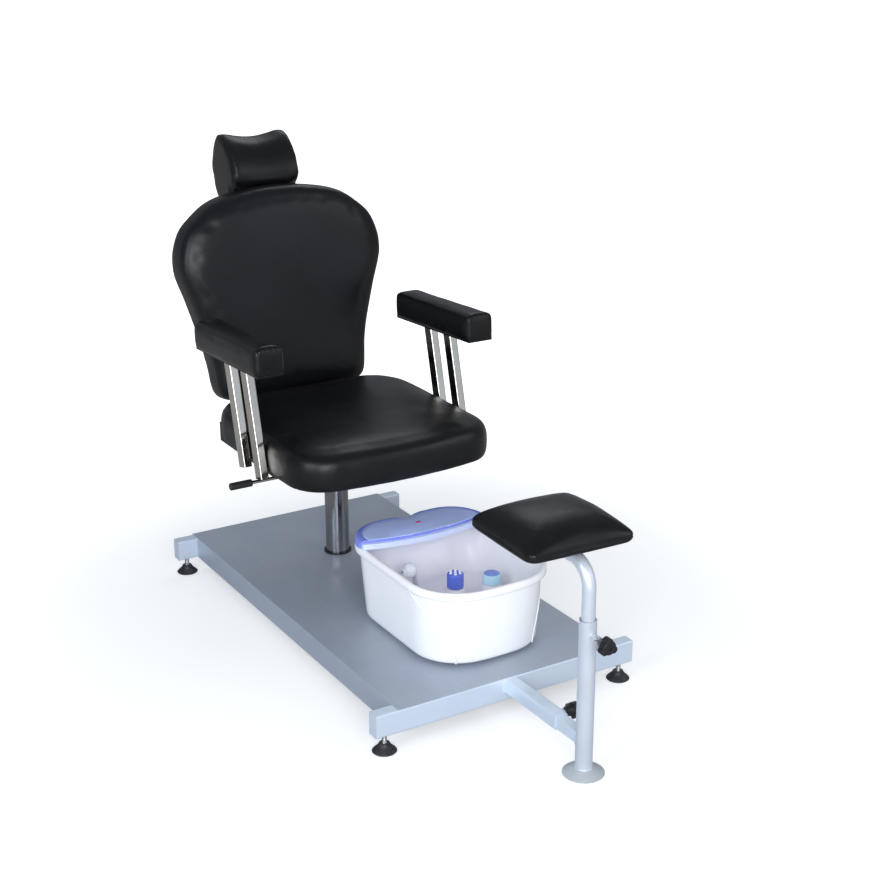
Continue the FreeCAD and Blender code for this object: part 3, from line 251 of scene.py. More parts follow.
def make_edge_rub():
    """A mask of convex and concave corners, broken up as handling wears them."""
    group = Group("rubbed_edges", {"Width": 0.002, "Break Up": 120.0}, ["Mask"])
    bevel = group.put("Bevel", {"samples": 3}, Radius=group.entry["Width"])
    dot = group.put("VectorMath", {"operation": "DOT_PRODUCT"})
    group.join(bevel.outputs[0], dot.inputs[0])
    group.join(group.normal(), dot.inputs[1])
    broken = group.noise(group.place, group.entry["Break Up"], 4.0, 0.7)
    return group.give(group.times(group.between(dot.outputs["Value"], 0.995, 0.90),
                                  group.between(broken, 0.40, 0.62)))


def make_settled_dust():
    """A mask of dust that lies on level upper faces."""
    group = Group("settled_dust", {"Amount": 0.3, "Scale": 18.0}, ["Mask"])
    patches = group.noise(group.place, group.entry["Scale"], 6.0, 0.65)
    mask = group.times(group.between(group.height_of(group.normal()), 0.55, 0.98),
                       group.between(patches, 0.30, 0.75))
    return group.give(group.times(mask, group.entry["Amount"]))


def make_fine_scratches():
    """A mask of hair lines in two directions, as cleaning leaves on hard finishes."""
    group = Group("fine_scratches", {"Scale": 40.0, "Share": 0.5}, ["Mask"])
    masks = [group.between(group.noise(group.place, group.entry["Scale"], 3.0, 0.5, stretch),
                           0.60, 0.72) for stretch in ((1.0, 22.0, 9.0), (17.0, 1.2, 12.0))]
    return group.give(group.times(group.maths("MAXIMUM", *masks), group.entry["Share"]))


def make_orange_peel():
    """Height of the small waves of a sprayed or moulded skin."""
    group = Group("orange_peel", {"Scale": 600.0}, ["Height"])
    scale = group.entry["Scale"]
    sizes = (scale, group.times(scale, 0.13))
    waves = [group.noise(group.place, size, 2.0, 0.5) for size in sizes]
    return group.give(group.maths("ADD", *waves))


def make_pebble_grain():
    """Height and valley mask of embossed upholstery grain, with slow creases under it."""
    group = Group("pebble_grain", {"Scale": 520.0, "Crease": 0.5}, ["Height", "Valleys"])
    wander = group.put("TexNoise", Vector=group.place, Scale=260.0, Detail=2.0)
    bent = group.put("VectorMath", {"operation": "MULTIPLY_ADD"})
    for index, value in enumerate((wander.outputs["Color"], (0.0016,) * 3, group.place)):
        group.join(value, bent.inputs[index])
    edge = group.put("TexVoronoi", {"feature": "DISTANCE_TO_EDGE"}, Vector=bent.outputs[0],
                     Scale=group.entry["Scale"]).outputs["Distance"]
    creases = group.noise(group.place, 30.0, 4.0, 0.62, (1.0, 1.0, 2.2))
    height = group.maths("ADD", group.between(edge, 0.0, 0.35),
                         group.times(creases, group.entry["Crease"]))
    return group.give(height, group.between(edge, 0.16, 0.02))


MOTTLE = make_mottle()
EDGE_RUB = make_edge_rub()
DUST = make_settled_dust()
SCRATCHES = make_fine_scratches()
PEEL = make_orange_peel()
GRAIN = make_pebble_grain()


# Finishes


class Finish(Shader):
    """A new material with its Principled shader, constants set on the shader's own sockets."""

    def __init__(self, name, **constants):
        self.material = bpy.data.materials.new(name)
        self.material.use_nodes = True
        super().__init__(self.material.node_tree)
        self.principled = self.tree.nodes["Principled BSDF"]
        self.feed(self.principled, **constants)
        self.place = self.put("TexCoord").outputs["Object"]

    def use(self, group, **sockets):
        """The outputs of a shared shader group."""
        return self.put("Group", {"node_tree": group}, Place=self.place, **sockets).outputs

    def mottle(self, colour, second, scale):
        return self.use(MOTTLE, Colour=colour, Second_Colour=second, Scale=scale)[0]

    def rub(self, width, break_up):
        return self.use(EDGE_RUB, Width=width, Break_Up=break_up)[0]

    def dust(self, amount, scale):
        return self.use(DUST, Amount=amount, Scale=scale)[0]

    def hair(self, scale, share):
        return self.use(SCRATCHES, Scale=scale, Share=share)[0]

    def dress(self, base, rough, height, distance, strength):
        """Set colour, roughness and bump, and hand over the material."""
        relief = self.put("Bump", Height=height, Distance=distance, Strength=strength)
        self.feed(self.principled, Base_Color=base, Roughness=rough, Normal=relief.outputs[0])
        return self.material


def powder_coat(name, colour, second, metallic=0.45):
    """Silver powder coat: satin, faintly waved, lighter where corners are rubbed."""
    skin = Finish(name, Metallic=metallic, IOR=1.5)
    dust = skin.dust(0.22, 9.0)
    base = skin.blend(skin.times(skin.rub(0.0016, 90.0), 0.45), skin.mottle(colour, second, 4.0),
                      (0.80, 0.81, 0.83))
    base = skin.blend(dust, base, (0.52, 0.51, 0.49))
    base = skin.blend(skin.times(skin.hair(9.0, 0.35), 0.25), base, (0.78, 0.80, 0.84))
    rough = skin.between(skin.noise(skin.place, 14.0, 4.0, 0.6), 0.3, 0.7, 0.34, 0.44)
    rough = skin.maths("ADD", rough, skin.times(dust, 0.8), clamp=True)
    return skin.dress(base, rough, skin.use(PEEL, Scale=850.0)[0], 0.00006, 0.8)


def plated(name, colour, low, high, scratch_scale=30.0):
    """Polished or plated metal with smudges and cleaning lines."""
    skin = Finish(name, Metallic=1.0)
    lines = skin.hair(scratch_scale, 0.6)
    rough = skin.between(skin.noise(skin.place, 26.0, 5.0, 0.65), 0.35, 0.72, low, high)
    rough = skin.maths("ADD", rough, skin.times(lines, 0.07))
    base = skin.mottle(colour, [part * 0.86 for part in colour], 17.0)
    return skin.dress(base, rough, lines, 0.00002, 0.5)


def leatherette(name, colour, rough_low=0.28, rough_high=0.37, crease=0.6):
    """Black embossed vinyl upholstery, softly creased."""
    skin = Finish(name, IOR=1.47, Specular_IOR_Level=0.40)
    grain = skin.use(GRAIN, Scale=430.0, Crease=crease)
    base = skin.mottle(colour, [part * 1.5 for part in colour], 7.0)
    base = skin.blend(skin.times(skin.rub(0.004, 60.0), 0.10), base, (0.04, 0.04, 0.043))
    base = skin.blend(skin.dust(0.05, 14.0), base, (0.06, 0.06, 0.06))
    base = skin.blend(skin.times(grain["Valleys"], 0.5), base, (0.004, 0.004, 0.005))
    rough = skin.between(skin.noise(skin.place, 8.0, 4.0, 0.6), 0.3, 0.7, rough_low, rough_high)
    return skin.dress(base, rough, grain["Height"], 0.00013, 0.45)


def moulded(name, colour, second, rough=0.3, soften=0.0):
    """Injection-moulded plastic: even colour, faint waves, hair lines and dulled corners."""
    skin = Finish(name, IOR=1.49)
    if soften:
        skin.feed(skin.principled, Subsurface_Weight=soften, Subsurface_Scale=0.004,
                  Subsurface_Radius=(1.0, 1.0, 1.0))
    lighter = [min(1.0, part * 1.15 + 0.02) for part in colour]
    base = skin.blend(skin.times(skin.rub(0.0012, 150.0), 0.35), skin.mottle(colour, second, 11.0),
                      lighter)
    value = skin.between(skin.noise(skin.place, 20.0, 4.0, 0.6), 0.3, 0.7, rough * 0.88,
                         rough * 1.15)
    value = skin.maths("ADD", value, skin.times(skin.hair(22.0, 0.4), 0.10))
    return skin.dress(base, value, skin.use(PEEL, Scale=700.0)[0], 0.00005, 0.7)


def plywood(name):
    """Pale beech ply: long grain on the faces and dark glue lines on the cut edges."""
    skin = Finish(name, IOR=1.45)
    grain = skin.noise(skin.place, 14.0, 6.0, 0.65, (1.5, 22.0, 22.0))
    wood = skin.blend(skin.between(grain, 0.3, 0.7), (0.66, 0.50, 0.31), (0.80, 0.66, 0.45))
    wave = skin.put("TexWave", {"wave_type": "BANDS", "bands_direction": "Z"}, Vector=skin.place,
                    Scale=170.0, Distortion=0.6, Detail=2.0)
    upright = skin.maths("ABSOLUTE", skin.height_of(skin.normal()), 0.5)
    lines = skin.times(skin.between(wave.outputs["Fac"], 0.75, 0.95),
                       skin.between(upright, 0.6, 0.2))
    wood = skin.blend(skin.times(lines, 0.6), wood, (0.36, 0.24, 0.13))
    wood = skin.blend(skin.dust(0.3, 20.0), wood, (0.70, 0.66, 0.60))
    return skin.dress(wood, skin.between(grain, 0.3, 0.7, 0.55, 0.75), grain, 0.0003, 0.5)


def levelling_foot(name):
    """Black rubber foot below, bright zinc stud above it."""
    skin = Finish(name, IOR=1.5)
    metal = skin.between(skin.height_of(skin.place), 0.01855, 0.01875)
    rubber = skin.mottle((0.012, 0.012, 0.014), (0.028, 0.028, 0.030), 60.0)
    rubber = skin.blend(skin.dust(0.3, 60.0), rubber, (0.16, 0.15, 0.14))
    base = skin.blend(metal, rubber, (0.72, 0.73, 0.75))
    skin.feed(skin.principled, Metallic=metal)
    rough = skin.between(skin.noise(skin.place, 90.0, 3.0, 0.6), 0.3, 0.7, 0.42, 0.58)
    rough = skin.maths("SUBTRACT", rough, skin.times(metal, 0.22))
    thread = skin.put("TexWave", {"wave_type": "BANDS", "bands_direction": "Z"}, Vector=skin.place,
                      Scale=210.0)
    height = skin.maths("ADD", skin.times(thread.outputs["Fac"], metal),
                        skin.times(skin.use(PEEL, Scale=900.0)[0], 0.15))
    return skin.dress(base, rough, height, 0.0005, 0.8)


def lamp_lens(name):
    """The small red lens of the bath's lamp, unlit."""
    skin = Finish(name, IOR=1.5, Transmission_Weight=0.25)
    base = skin.mottle((0.62, 0.02, 0.12), (0.80, 0.06, 0.20), 300.0)
    cells = skin.put("TexVoronoi", Vector=skin.place, Scale=900.0).outputs["Distance"]
    return skin.dress(base, skin.between(cells, 0.0, 0.8, 0.12, 0.24), cells, 0.0002, 0.5)


FINISHES = {}


def finish(key, material, names=""):
    """Keep a finish under a short key, and give it to the solids that show it."""
    FINISHES[key] = material
    for name in names.split():
        node = NODES[name]
        if not node.material_slots:
            node.data.materials.append(None)
        for material_slot in node.material_slots:
            material_slot.material = material


finish("beam_coat", powder_coat("silver_beam_coat", (0.74, 0.84, 0.99), (0.78, 0.87, 0.99)),
       "front_beam rear_beam side_rails column_mount footrest_socket footrest_slide_bar")
# The deck is the beams' silver coat drawn darker: painted shade for the weaker light on its upper
# face.
finish("deck_painted_shade_coat", powder_coat("silver_deck_painted_shade", (0.40, 0.45, 0.54), (0.44, 0.49, 0.58), 0.3),
       "deck_sheet")
finish("pole_coat", powder_coat("silver_pole_coat", (0.66, 0.71, 0.79), (0.70, 0.75, 0.83)),
       "footrest_sleeve footrest_mast")
finish("flange_coat", powder_coat("weathered_flange_coat", (0.50, 0.54, 0.58),
                                  (0.60, 0.63, 0.66), 0.3), "footrest_floor_flange")
finish("dark_coat", powder_coat("black_frame_coat", (0.022, 0.022, 0.025),
                                (0.034, 0.034, 0.037), 0.1),
       "seat_plate back_brackets headrest_guide headrest_post gas_cylinder")
finish("chrome", plated("bright_chrome", (0.64, 0.61, 0.56), 0.05, 0.12),
       "right_arm_frame left_arm_frame lift_lever")
finish("column_chrome", plated("column_chrome", (0.42, 0.41, 0.42), 0.08, 0.17, 18.0),
       "column_stand_tube")
finish("steel", plated("turned_steel", (0.56, 0.56, 0.57), 0.24, 0.38, 60.0),
       "piston_rod column_thrust_bearing gas_release_pin leveller_nuts arm_bolts chair_screws "
       "height_knob_screw reach_knob_screw")
finish("seat_vinyl", leatherette("black_seat_vinyl", (0.0034, 0.0034, 0.0036)))
finish("back_vinyl", leatherette("black_back_vinyl", (0.0044, 0.0048, 0.0062), 0.28, 0.38, 0.5))
finish("pad_vinyl", leatherette("black_pad_vinyl", (0.0038, 0.0039, 0.0044), 0.27, 0.36, 0.6),
       "arm_boards headrest_board footrest_board seat_frame")
finish("head_vinyl", leatherette("black_head_vinyl", (0.0044, 0.0044, 0.0046), 0.27, 0.36, 0.7))
finish("rest_vinyl", leatherette("black_rest_vinyl", (0.0034, 0.0034, 0.0038), 0.26, 0.34, 0.6))
finish("piping", leatherette("black_seam_vinyl", (0.0036, 0.0036, 0.0040), 0.30, 0.40, 0.3))
finish("wood", plywood("seat_plywood"), "back_board")
finish("foot", levelling_foot("levelling_foot"),
       "leveller_front_left leveller_front_right leveller_rear_left leveller_rear_right")
finish("rubber", moulded("black_rubber", (0.014, 0.014, 0.015), (0.024, 0.024, 0.026), 0.55),
       "bath_feet")
finish("black", moulded("black_moulding", (0.011, 0.011, 0.012), (0.018, 0.018, 0.020), 0.34),
       "column_base_ring height_knob reach_knob bath_cord_gland")
finish("grip", moulded("black_grip", (0.013, 0.013, 0.014), (0.022, 0.022, 0.024), 0.42),
       "lever_grip")
finish("grey", moulded("grey_moulding", (0.45, 0.48, 0.53), (0.50, 0.53, 0.57), 0.42),
       "column_guide_bush mast_plug")
finish("cap_grey", moulded("grey_end_cap", (0.50, 0.56, 0.66), (0.54, 0.60, 0.70), 0.36),
       "beam_end_caps")
finish("white", moulded("white_tub", (0.93, 0.94, 0.96), (0.91, 0.92, 0.95), 0.22, 0.10),
       "bath_shell bath_roller")
finish("basin", moulded("white_basin", (0.95, 0.93, 0.95), (0.93, 0.91, 0.94), 0.20, 0.10),
       "bath_basin")
finish("nub", moulded("white_nodules", (0.88, 0.90, 0.95), (0.84, 0.86, 0.93), 0.25, 0.1))
finish("cover", moulded("lavender_cover", (0.48, 0.58, 0.98), (0.52, 0.62, 0.98), 0.20, 0.1),
       "bath_cover")
finish("cover_edge", moulded("violet_cover_edge", (0.19, 0.25, 0.74),
                             (0.23, 0.29, 0.78), 0.2, 0.1))
# The fascia strip is the cover's lavender plastic drawn paler: painted light for the light that
# shines through its thin skirt.
finish("strip_painted_light", moulded("lavender_strip_painted_light", (0.62, 0.70, 0.95), (0.66, 0.74, 0.96), 0.2),
       "bath_fascia")
finish("pale_blue", moulded("pale_blue_moulding", (0.52, 0.80, 0.98),
                            (0.58, 0.84, 0.98), 0.22, 0.1), "bath_round_cap")
finish("cap_top", moulded("mid_blue_moulding", (0.19, 0.30, 0.78), (0.22, 0.34, 0.82), 0.24))
finish("deep_blue", moulded("deep_blue_moulding", (0.11, 0.17, 0.70), (0.14, 0.20, 0.75), 0.24),
       "bath_nodule_head")
finish("lens", lamp_lens("red_lens"), "bath_lamp")


# Making pieces


def mm(*rows):
    """Rows of millimetres as metres."""
    return [tuple(value / 1000.0 for value in row) for row in rows]


def clamp(value):
    return min(max(value, 0.0), 1.0)


def tilt(point, angle):
    """Turn a point about the x axis. A positive angle carries its upper side to the rear."""
    x, y, z = point
    return Vector((x, y * cos(angle) + z * sin(angle), z * cos(angle) - y * sin(angle)))


def tidy_mesh(mesh, merge=False):
    """Turn all faces outward, after merging points that lie together."""
    shape = bmesh.new()
    shape.from_mesh(mesh)
    if merge:
        bmesh.ops.remove_doubles(shape, verts=shape.verts, dist=0.0001)
        bmesh.ops.dissolve_degenerate(shape, edges=shape.edges, dist=0.00005)
    bmesh.ops.recalc_face_normals(shape, faces=shape.faces)
    shape.to_mesh(mesh)
    shape.free()


def make_piece(name, vertices, faces, look, body, slot):
    """A mesh piece in the frame of the solids, with its finish and body. The slot argument is not
    used.
    """
    mesh = bpy.data.meshes.new(name)
    mesh.from_pydata([tuple(v) for v in vertices], [], faces)
    mesh.validate()
    tidy_mesh(mesh)
    for face in mesh.polygons:
        face.use_smooth = True
    piece = bpy.data.objects.new(name, mesh)
    bpy.context.scene.collection.objects.link(piece)
    mesh.materials.append(FINISHES[look])
    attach(piece, body)
    return piece


def stack_rings(rings, close_low=True, close_high=True):
    """Vertices and faces of a form drawn through rings of equal count."""
    count = len(rings[0])
    vertices = [point for ring in rings for point in ring]
    faces = []
    for low in range(0, (len(rings) - 1) * count, count):
        for index in range(count):
            following = (index + 1) % count
            faces.append((low + index, low + following, low + count + following,
                          low + count + index))
    if close_low:
        faces.append(tuple(reversed(range(count))))
    if close_high:
        faces.append(tuple(range((len(rings) - 1) * count, len(rings) * count)))
    return vertices, faces


def ring_piece(name, rings, look, body, slot, close_low=True):
    """A piece drawn through rings."""
    return make_piece(name, *stack_rings(rings, close_low), look, body, slot)


def cushion(name, rings, look, body="chair"):
    return ring_piece(name, rings, look, body, "black_leatherette")


def bath_piece(name, rings, look, body="foot_bath", close_low=True):
    return ring_piece(name, rings, look, body, "white_plastic", close_low)


def smooth_line(points, per_span, closed=False):
    """Points along a rounded line through the given ones."""
    count = len(points)
    result = []
    for span in range(count if closed else count - 1):
        places = [span + shift for shift in (-1, 0, 1, 2)]
        if closed:
            a, b, c, d = (points[place % count] for place in places)
        else:
            a, b, c, d = (points[min(max(place, 0), count - 1)] for place in places)
        for step in range(per_span):
            t = step / per_span
            result.append(tuple(
                0.5 * (2 * q + (r - p) * t + (2 * p - 5 * q + 4 * r - s) * t * t
                       + (3 * q - p - 3 * r + s) * t ** 3)
                for p, q, r, s in zip(a, b, c, d)))
    return result if closed else result + [tuple(points[-1])]


def plan_ring(half, front, rear, front_corner, rear_corner, bow, z, steps=14):
    """An outline seen from above: bowed front, straight sides and rear, rounded corners."""
    low = front + bow
    points = []
    run = half - front_corner
    for step in range(steps):
        x = -run + 2.0 * run * step / steps
        points.append((x, low - bow * (1.0 - (x / run) ** 2), z))
    corners = (
        (half - front_corner, low + front_corner, front_corner, -90.0),
        (half - rear_corner, rear - rear_corner, rear_corner, 0.0),
        (rear_corner - half, rear - rear_corner, rear_corner, 90.0),
        (front_corner - half, low + front_corner, front_corner, 180.0),
    )

    def on_corner(number, degrees):
        x, y, radius, start = corners[number]
        turn = radians(start + degrees)
        return x + radius * cos(turn), y + radius * sin(turn), z

    for number in range(4):
        points += [on_corner(number, 90.0 * step / steps) for step in range(steps)]
        if number < 3:
            here = Vector(on_corner(number, 90.0))
            there = Vector(on_corner(number + 1, 0.0))
            points += [tuple(here.lerp(there, step / steps)) for step in range(steps)]
    return points


def tube_along(name, points, radius, look, body, slot, sides=8, closed=True):
    """A round strip that follows a line, such as a seam's piping or a weld."""
    line = [Vector(point) for point in points]
    count = len(line)
    rings = []
    side = None
    for index, point in enumerate(line):
        if closed:
            ahead = line[(index + 1) % count] - line[index - 1]
        else:
            ahead = line[min(index + 1, count - 1)] - line[max(index - 1, 0)]
        ahead.normalize()
        if side is None:
            side = ahead.orthogonal().normalized()
        side = (side - ahead * side.dot(ahead)).normalized()
        across = ahead.cross(side)
        turns = [2 * pi * k / sides for k in range(sides)]
        rings.append([point + side * (radius * cos(turn)) + across * (radius * sin(turn))
                      for turn in turns])
    vertices, faces = stack_rings(rings, not closed, not closed)
    if closed:
        last = (count - 1) * sides
        for k in range(sides):
            following = (k + 1) % sides
            faces.append((last + k, last + following, following, k))
    make_piece(name, vertices, faces, look, body, slot)


def modify(piece, name, kind, **settings):
    modifier = piece.modifiers.new(name, kind)
    for key, value in settings.items():
        setattr(modifier, key, value)


def keep_shape(piece):
    """Turn a piece's modifiers into plain mesh."""
    bpy.context.view_layer.update()
    graph = bpy.context.evaluated_depsgraph_get()
    shaped = bpy.data.meshes.new_from_object(piece.evaluated_get(graph))
    old = piece.data
    piece.modifiers.clear()
    piece.data = shaped
    bpy.data.meshes.remove(old)


def blow_up(piece, tight):
    """Where each point lies after pressure has pushed the cover out."""
    group = piece.vertex_groups.new(name="on_board")
    group.add([index for index, pinned in enumerate(tight) if pinned], 1.0, "REPLACE")
    cloth = piece.modifiers.new("cover", "CLOTH")
    for key, value in cover_cloth.items():
        setattr(cloth.settings, key, value)
    cloth.settings.effector_weights.gravity = 0.0
    cloth.collision_settings.use_collision = False
    scene = bpy.context.scene
    for number in range(1, cover_frames + 1):
        scene.frame_set(number)
    swollen = piece.evaluated_get(bpy.context.evaluated_depsgraph_get())
    moved = [vertex.co.copy() for vertex in swollen.to_mesh().vertices]
    swollen.to_mesh_clear()
    piece.modifiers.clear()
    piece.vertex_groups.clear()
    scene.frame_set(1)
    return moved


def stuff(piece, voxel, swell, held, limit):
    """Fill a cushion: even out its faces, let pressure push the cover out, keep the result.

    held(point) is true where the cover is pulled tight over its board. limit(point) may move a
    point back, so that it stays clear of its neighbours.
    """
    modify(piece, "even_faces", "REMESH", mode="VOXEL", voxel_size=voxel, use_smooth_shade=True)
    modify(piece, "relaxed_cover", "SMOOTH", factor=0.5, iterations=4)
    keep_shape(piece)
    mesh = piece.data
    start = [vertex.co.copy() for vertex in mesh.vertices]
    outward = [vertex.normal.copy() for vertex in mesh.vertices]
    tight = [held(point) for point in start]
    moved = blow_up(piece, tight)
    for vertex, first, last, normal in zip(mesh.vertices, start, moved, outward):
        shift = last - first
        sunk = shift.dot(normal) + cover_sink
        if sunk < 0.0:
            shift -= normal * sunk
        if shift.length > swell:
            shift = shift.normalized() * swell
        vertex.co = limit(first + shift)
    modify(piece, "settled_cover", "SMOOTH", factor=0.5, iterations=9)
    modify(piece, "fine_cover", "SUBSURF", levels=1, render_levels=1)
    keep_shape(piece)
    for face in piece.data.polygons:
        face.use_smooth = True


def press(piece, change):
    """Move a piece's points by change(point, normal), for seams, gathers and dents."""
    mesh = piece.data
    normals = [vertex.normal.copy() for vertex in mesh.vertices]
    for vertex, normal in zip(mesh.vertices, normals):
        vertex.co = vertex.co + change(vertex.co, normal)
    mesh.update()


def falloff(distance, width):
    """1 at no distance, down smoothly to 0 at the width."""
    share = min(abs(distance) / width, 1.0)
    return (1.0 - share * share) ** 2


# Seat cushion


def seat_ring(inset, z):
    front_corner, rear_corner = (max(corner - inset * 0.6, 0.02) for corner in seat_corners)
    return plan_ring(seat_half - inset, seat_front + inset, seat_rear - inset, front_corner,
                     rear_corner, seat_bow, z)


def make_seat_cushion():
    steps = mm((7, 0), (3, 3), (1, 10), (0, 26), (0, 48), (1.5, 60), (5, 69), (11, 76), (21, 81.5),
               (42, 85.8), (80, 88.5), (130, 90.5))
    piece = cushion("seat_cushion_cover",
                    [seat_ring(inset, seat_low + rise) for inset, rise in steps], "seat_vinyl")

    def clear_of_bars(point):
        if abs(point.x) > seat_reach:
            point.x = copysign(seat_reach, point.x)
        point.z = max(point.z, seat_low)
        return point

    stuff(piece, 0.006, 0.0040, lambda point: point.z < seat_low + 0.003, clear_of_bars)

    def dents(point, normal):
        if normal.z > 0.6:
            sag = falloff(hypot(point.x, point.y - 0.20), 0.19) * 0.0022
            soft = noise.noise(point * 9.0) * 0.0010 + noise.noise(point * 24.0) * 0.0003
            return Vector((0, 0, soft - sag))
        if seat_half - abs(point.x) < 0.06 or point.y < seat_front + 0.06:
            pull = noise.noise(Vector((point.x * 26.0, point.y * 26.0, point.z * 7.0)))
            return normal * pull * 0.0007 * falloff(point.z - seat_low, 0.05)
        return Vector()

    press(piece, dents)
    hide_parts("seat_cushion")


# Backrest


def lean(point):
    """From the upright backrest drawing to its leaned place."""
    return back_place + tilt(point, back_lean)


def unlean(point):
    """From the leaned place back to the upright drawing."""
    return tilt(Vector(point) - back_place, -back_lean)


def arc_points(p, q, r, steps):
    """Points on the circle through three places in a plane, from the first to the last."""
    (ax, ay), (bx, by), (cx, cy) = p, q, r
    turn = 2.0 * (ax * (by - cy) + bx * (cy - ay) + cx * (ay - by))
    a2, b2, c2 = ax * ax + ay * ay, bx * bx + by * by, cx * cx + cy * cy
    ux = (a2 * (by - cy) + b2 * (cy - ay) + c2 * (ay - by)) / turn
    uy = (a2 * (cx - bx) + b2 * (ax - cx) + c2 * (bx - ax)) / turn
    radius = hypot(ax - ux, ay - uy)
    first, middle, last = (atan2(y - uy, x - ux) for x, y in (p, q, r))
    middle, last = (middle - first) % (2.0 * pi), (last - first) % (2.0 * pi)
    if middle > last:
        last -= 2.0 * pi
    return [(ux + radius * cos(first + last * k / steps),
             uy + radius * sin(first + last * k / steps)) for k in range(steps)]


def half_outline():
    """The sitter's left half of the backrest outline, from the middle of its foot to its crest."""
    line = [(0.166 * k / 8.0, 0.0) for k in range(8)]
    line += arc_points((0.166, 0.0), (0.19004, 0.00996), (0.200, 0.034), 6)
    for first in range(0, len(back_outline) - 3, 2):
        line += arc_points(*back_outline[first:first + 3], 10)
    x, z = back_outline[-2]
    line += arc_points((x, z), back_outline[-1], (-x, z), 16)[:9]
    return line


def back_ring(border, y):
    """The backrest's outline drawn in by a border, leaned to its place at a depth y."""
    half_line = half_outline()
    middle = back_high / 2.0
    wide = 1.0 - border / back_half
    tall = 1.0 - border / middle
    whole = half_line + [(-x, z) for x, z in reversed(half_line[1:-1])]
    for _ in range(6):
        ahead = whole[1:] + whole[:1]
        whole = [tuple((before + 2.0 * here + after) / 4.0
                       for before, here, after in zip(whole[k - 1], whole[k], ahead[k]))
                 for k in range(len(whole))]
    return [lean((x * wide, y, middle + (z - middle) * tall)) for x, z in whole]


def make_back_cushion():
    steps = mm((190, -4), (140, -3.6), (95, -2.6), (60, -1), (40, 0.8), (27, 2.4), (18, 5.2),
               (10.5, 10), (5, 17), (2.2, 27), (1, 42), (0.8, 64), (1.4, 76), (4.2, 83), (9, 86.2),
               (20, 87.5))
    piece = cushion("back_cushion_cover", [back_ring(*step) for step in steps], "back_vinyl")

    def stay_within(point):
        flat = unlean(point)
        flat.y = min(flat.y, back_board_front)
        return lean(flat)

    stuff(piece, 0.0055, 0.0040, lambda point: unlean(point).y > 0.0858, stay_within)

    def soften(point, normal):
        flat = unlean(point)
        if flat.y > 0.03:
            return Vector()
        broad = noise.noise(flat * 6.0) * 0.0016
        hollow = falloff(hypot(flat.x * 0.8, flat.z - 0.19), 0.20) * 0.0035
        return normal * (broad - hollow)

    press(piece, soften)
    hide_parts("back_cushion")


def make_back_lining():
    """The stretched cover on the rear of the backrest, edged with piping."""
    steps = mm((30, 86.6), (24, 87.8), (26, 88.5), (60, 88.6), (150, 88.6))
    cushion("back_rear_cover", [back_ring(*step) for step in steps], "back_vinyl")
    tube_along("back_rear_piping", back_ring(0.0235, back_board_front), 0.0016, "piping", "chair",
               "black_leatherette")


# Headrest


def head_ring(x, share):
    mid_y, mid_z = head_middle
    return [(x, mid_y + (y - mid_y) * share, mid_z + (z - mid_z) * share)
            for y, z in smooth_line(head_outline, 4, True)]


def make_headrest_cushion():
    steps = ((0.0838, 0.80), (0.0866, 0.900), (0.0866, 0.935), (0.0850, 0.958), (0.0812, 0.972),
             (0.0720, 0.976), (0.0600, 0.968), (0.0400, 0.952), (0.0200, 0.944), (0.0, 0.941))
    rings = []
    for x, share in steps + tuple((-x, share) for x, share in steps[-2::-1]):
        dip = 0.0085 * falloff(x, head_half * 0.95)
        rings.append([(px, py, pz - dip * clamp((pz - 0.955) / 0.08))
                      for px, py, pz in head_ring(x, share)])
    piece = cushion("headrest_cushion_cover", rings, "head_vinyl", "headrest")

    def above_board(point):
        point.z = max(point.z, head_low)
        return point

    stuff(piece, 0.005, 0.0042, lambda point: point.z < head_low + 0.005 and point.y > 0.66,
          above_board)

    def seam_sink(point, normal):
        near = falloff(abs(point.x) - 0.0838, 0.0045)
        pull = noise.noise(Vector((point.x * 6.0, point.y * 30.0, point.z * 30.0)))
        edge = falloff(abs(point.x) - 0.072, 0.016)
        return normal * (-0.0012 * near + 0.0009 * pull * edge)

    press(piece, seam_sink)
    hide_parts("headrest_cushion")
    for side, name in ((-1.0, "right"), (1.0, "left")):
        line = []
        for point in head_ring(side * 0.0842, 0.990):
            found, spot, normal, _ = piece.closest_point_on_mesh(Vector(point))
            line.append(spot - normal * 0.0002 if found else point)
        tube_along("headrest_seam_" + name, line, 0.0011, "piping", "headrest",
                   "black_leatherette")


# Arm pads


def pad_ring(half, low, high, y):
    """A cross-section of an arm pad: round upper corners, tighter lower ones."""
    upper, lower = 0.0100, 0.0040
    return [(x + radius * cos(radians(start + 90.0 * step / 6.0)), y,
             z + radius * sin(radians(start + 90.0 * step / 6.0)))
            for x, z, radius, start in (
                (half - lower, low + lower, lower, -90.0),
                (half - upper, high - upper, upper, 0.0),
                (upper - half, high - upper, upper, 90.0),
                (lower - half, low + lower, lower, 180.0))
            for step in range(7)]


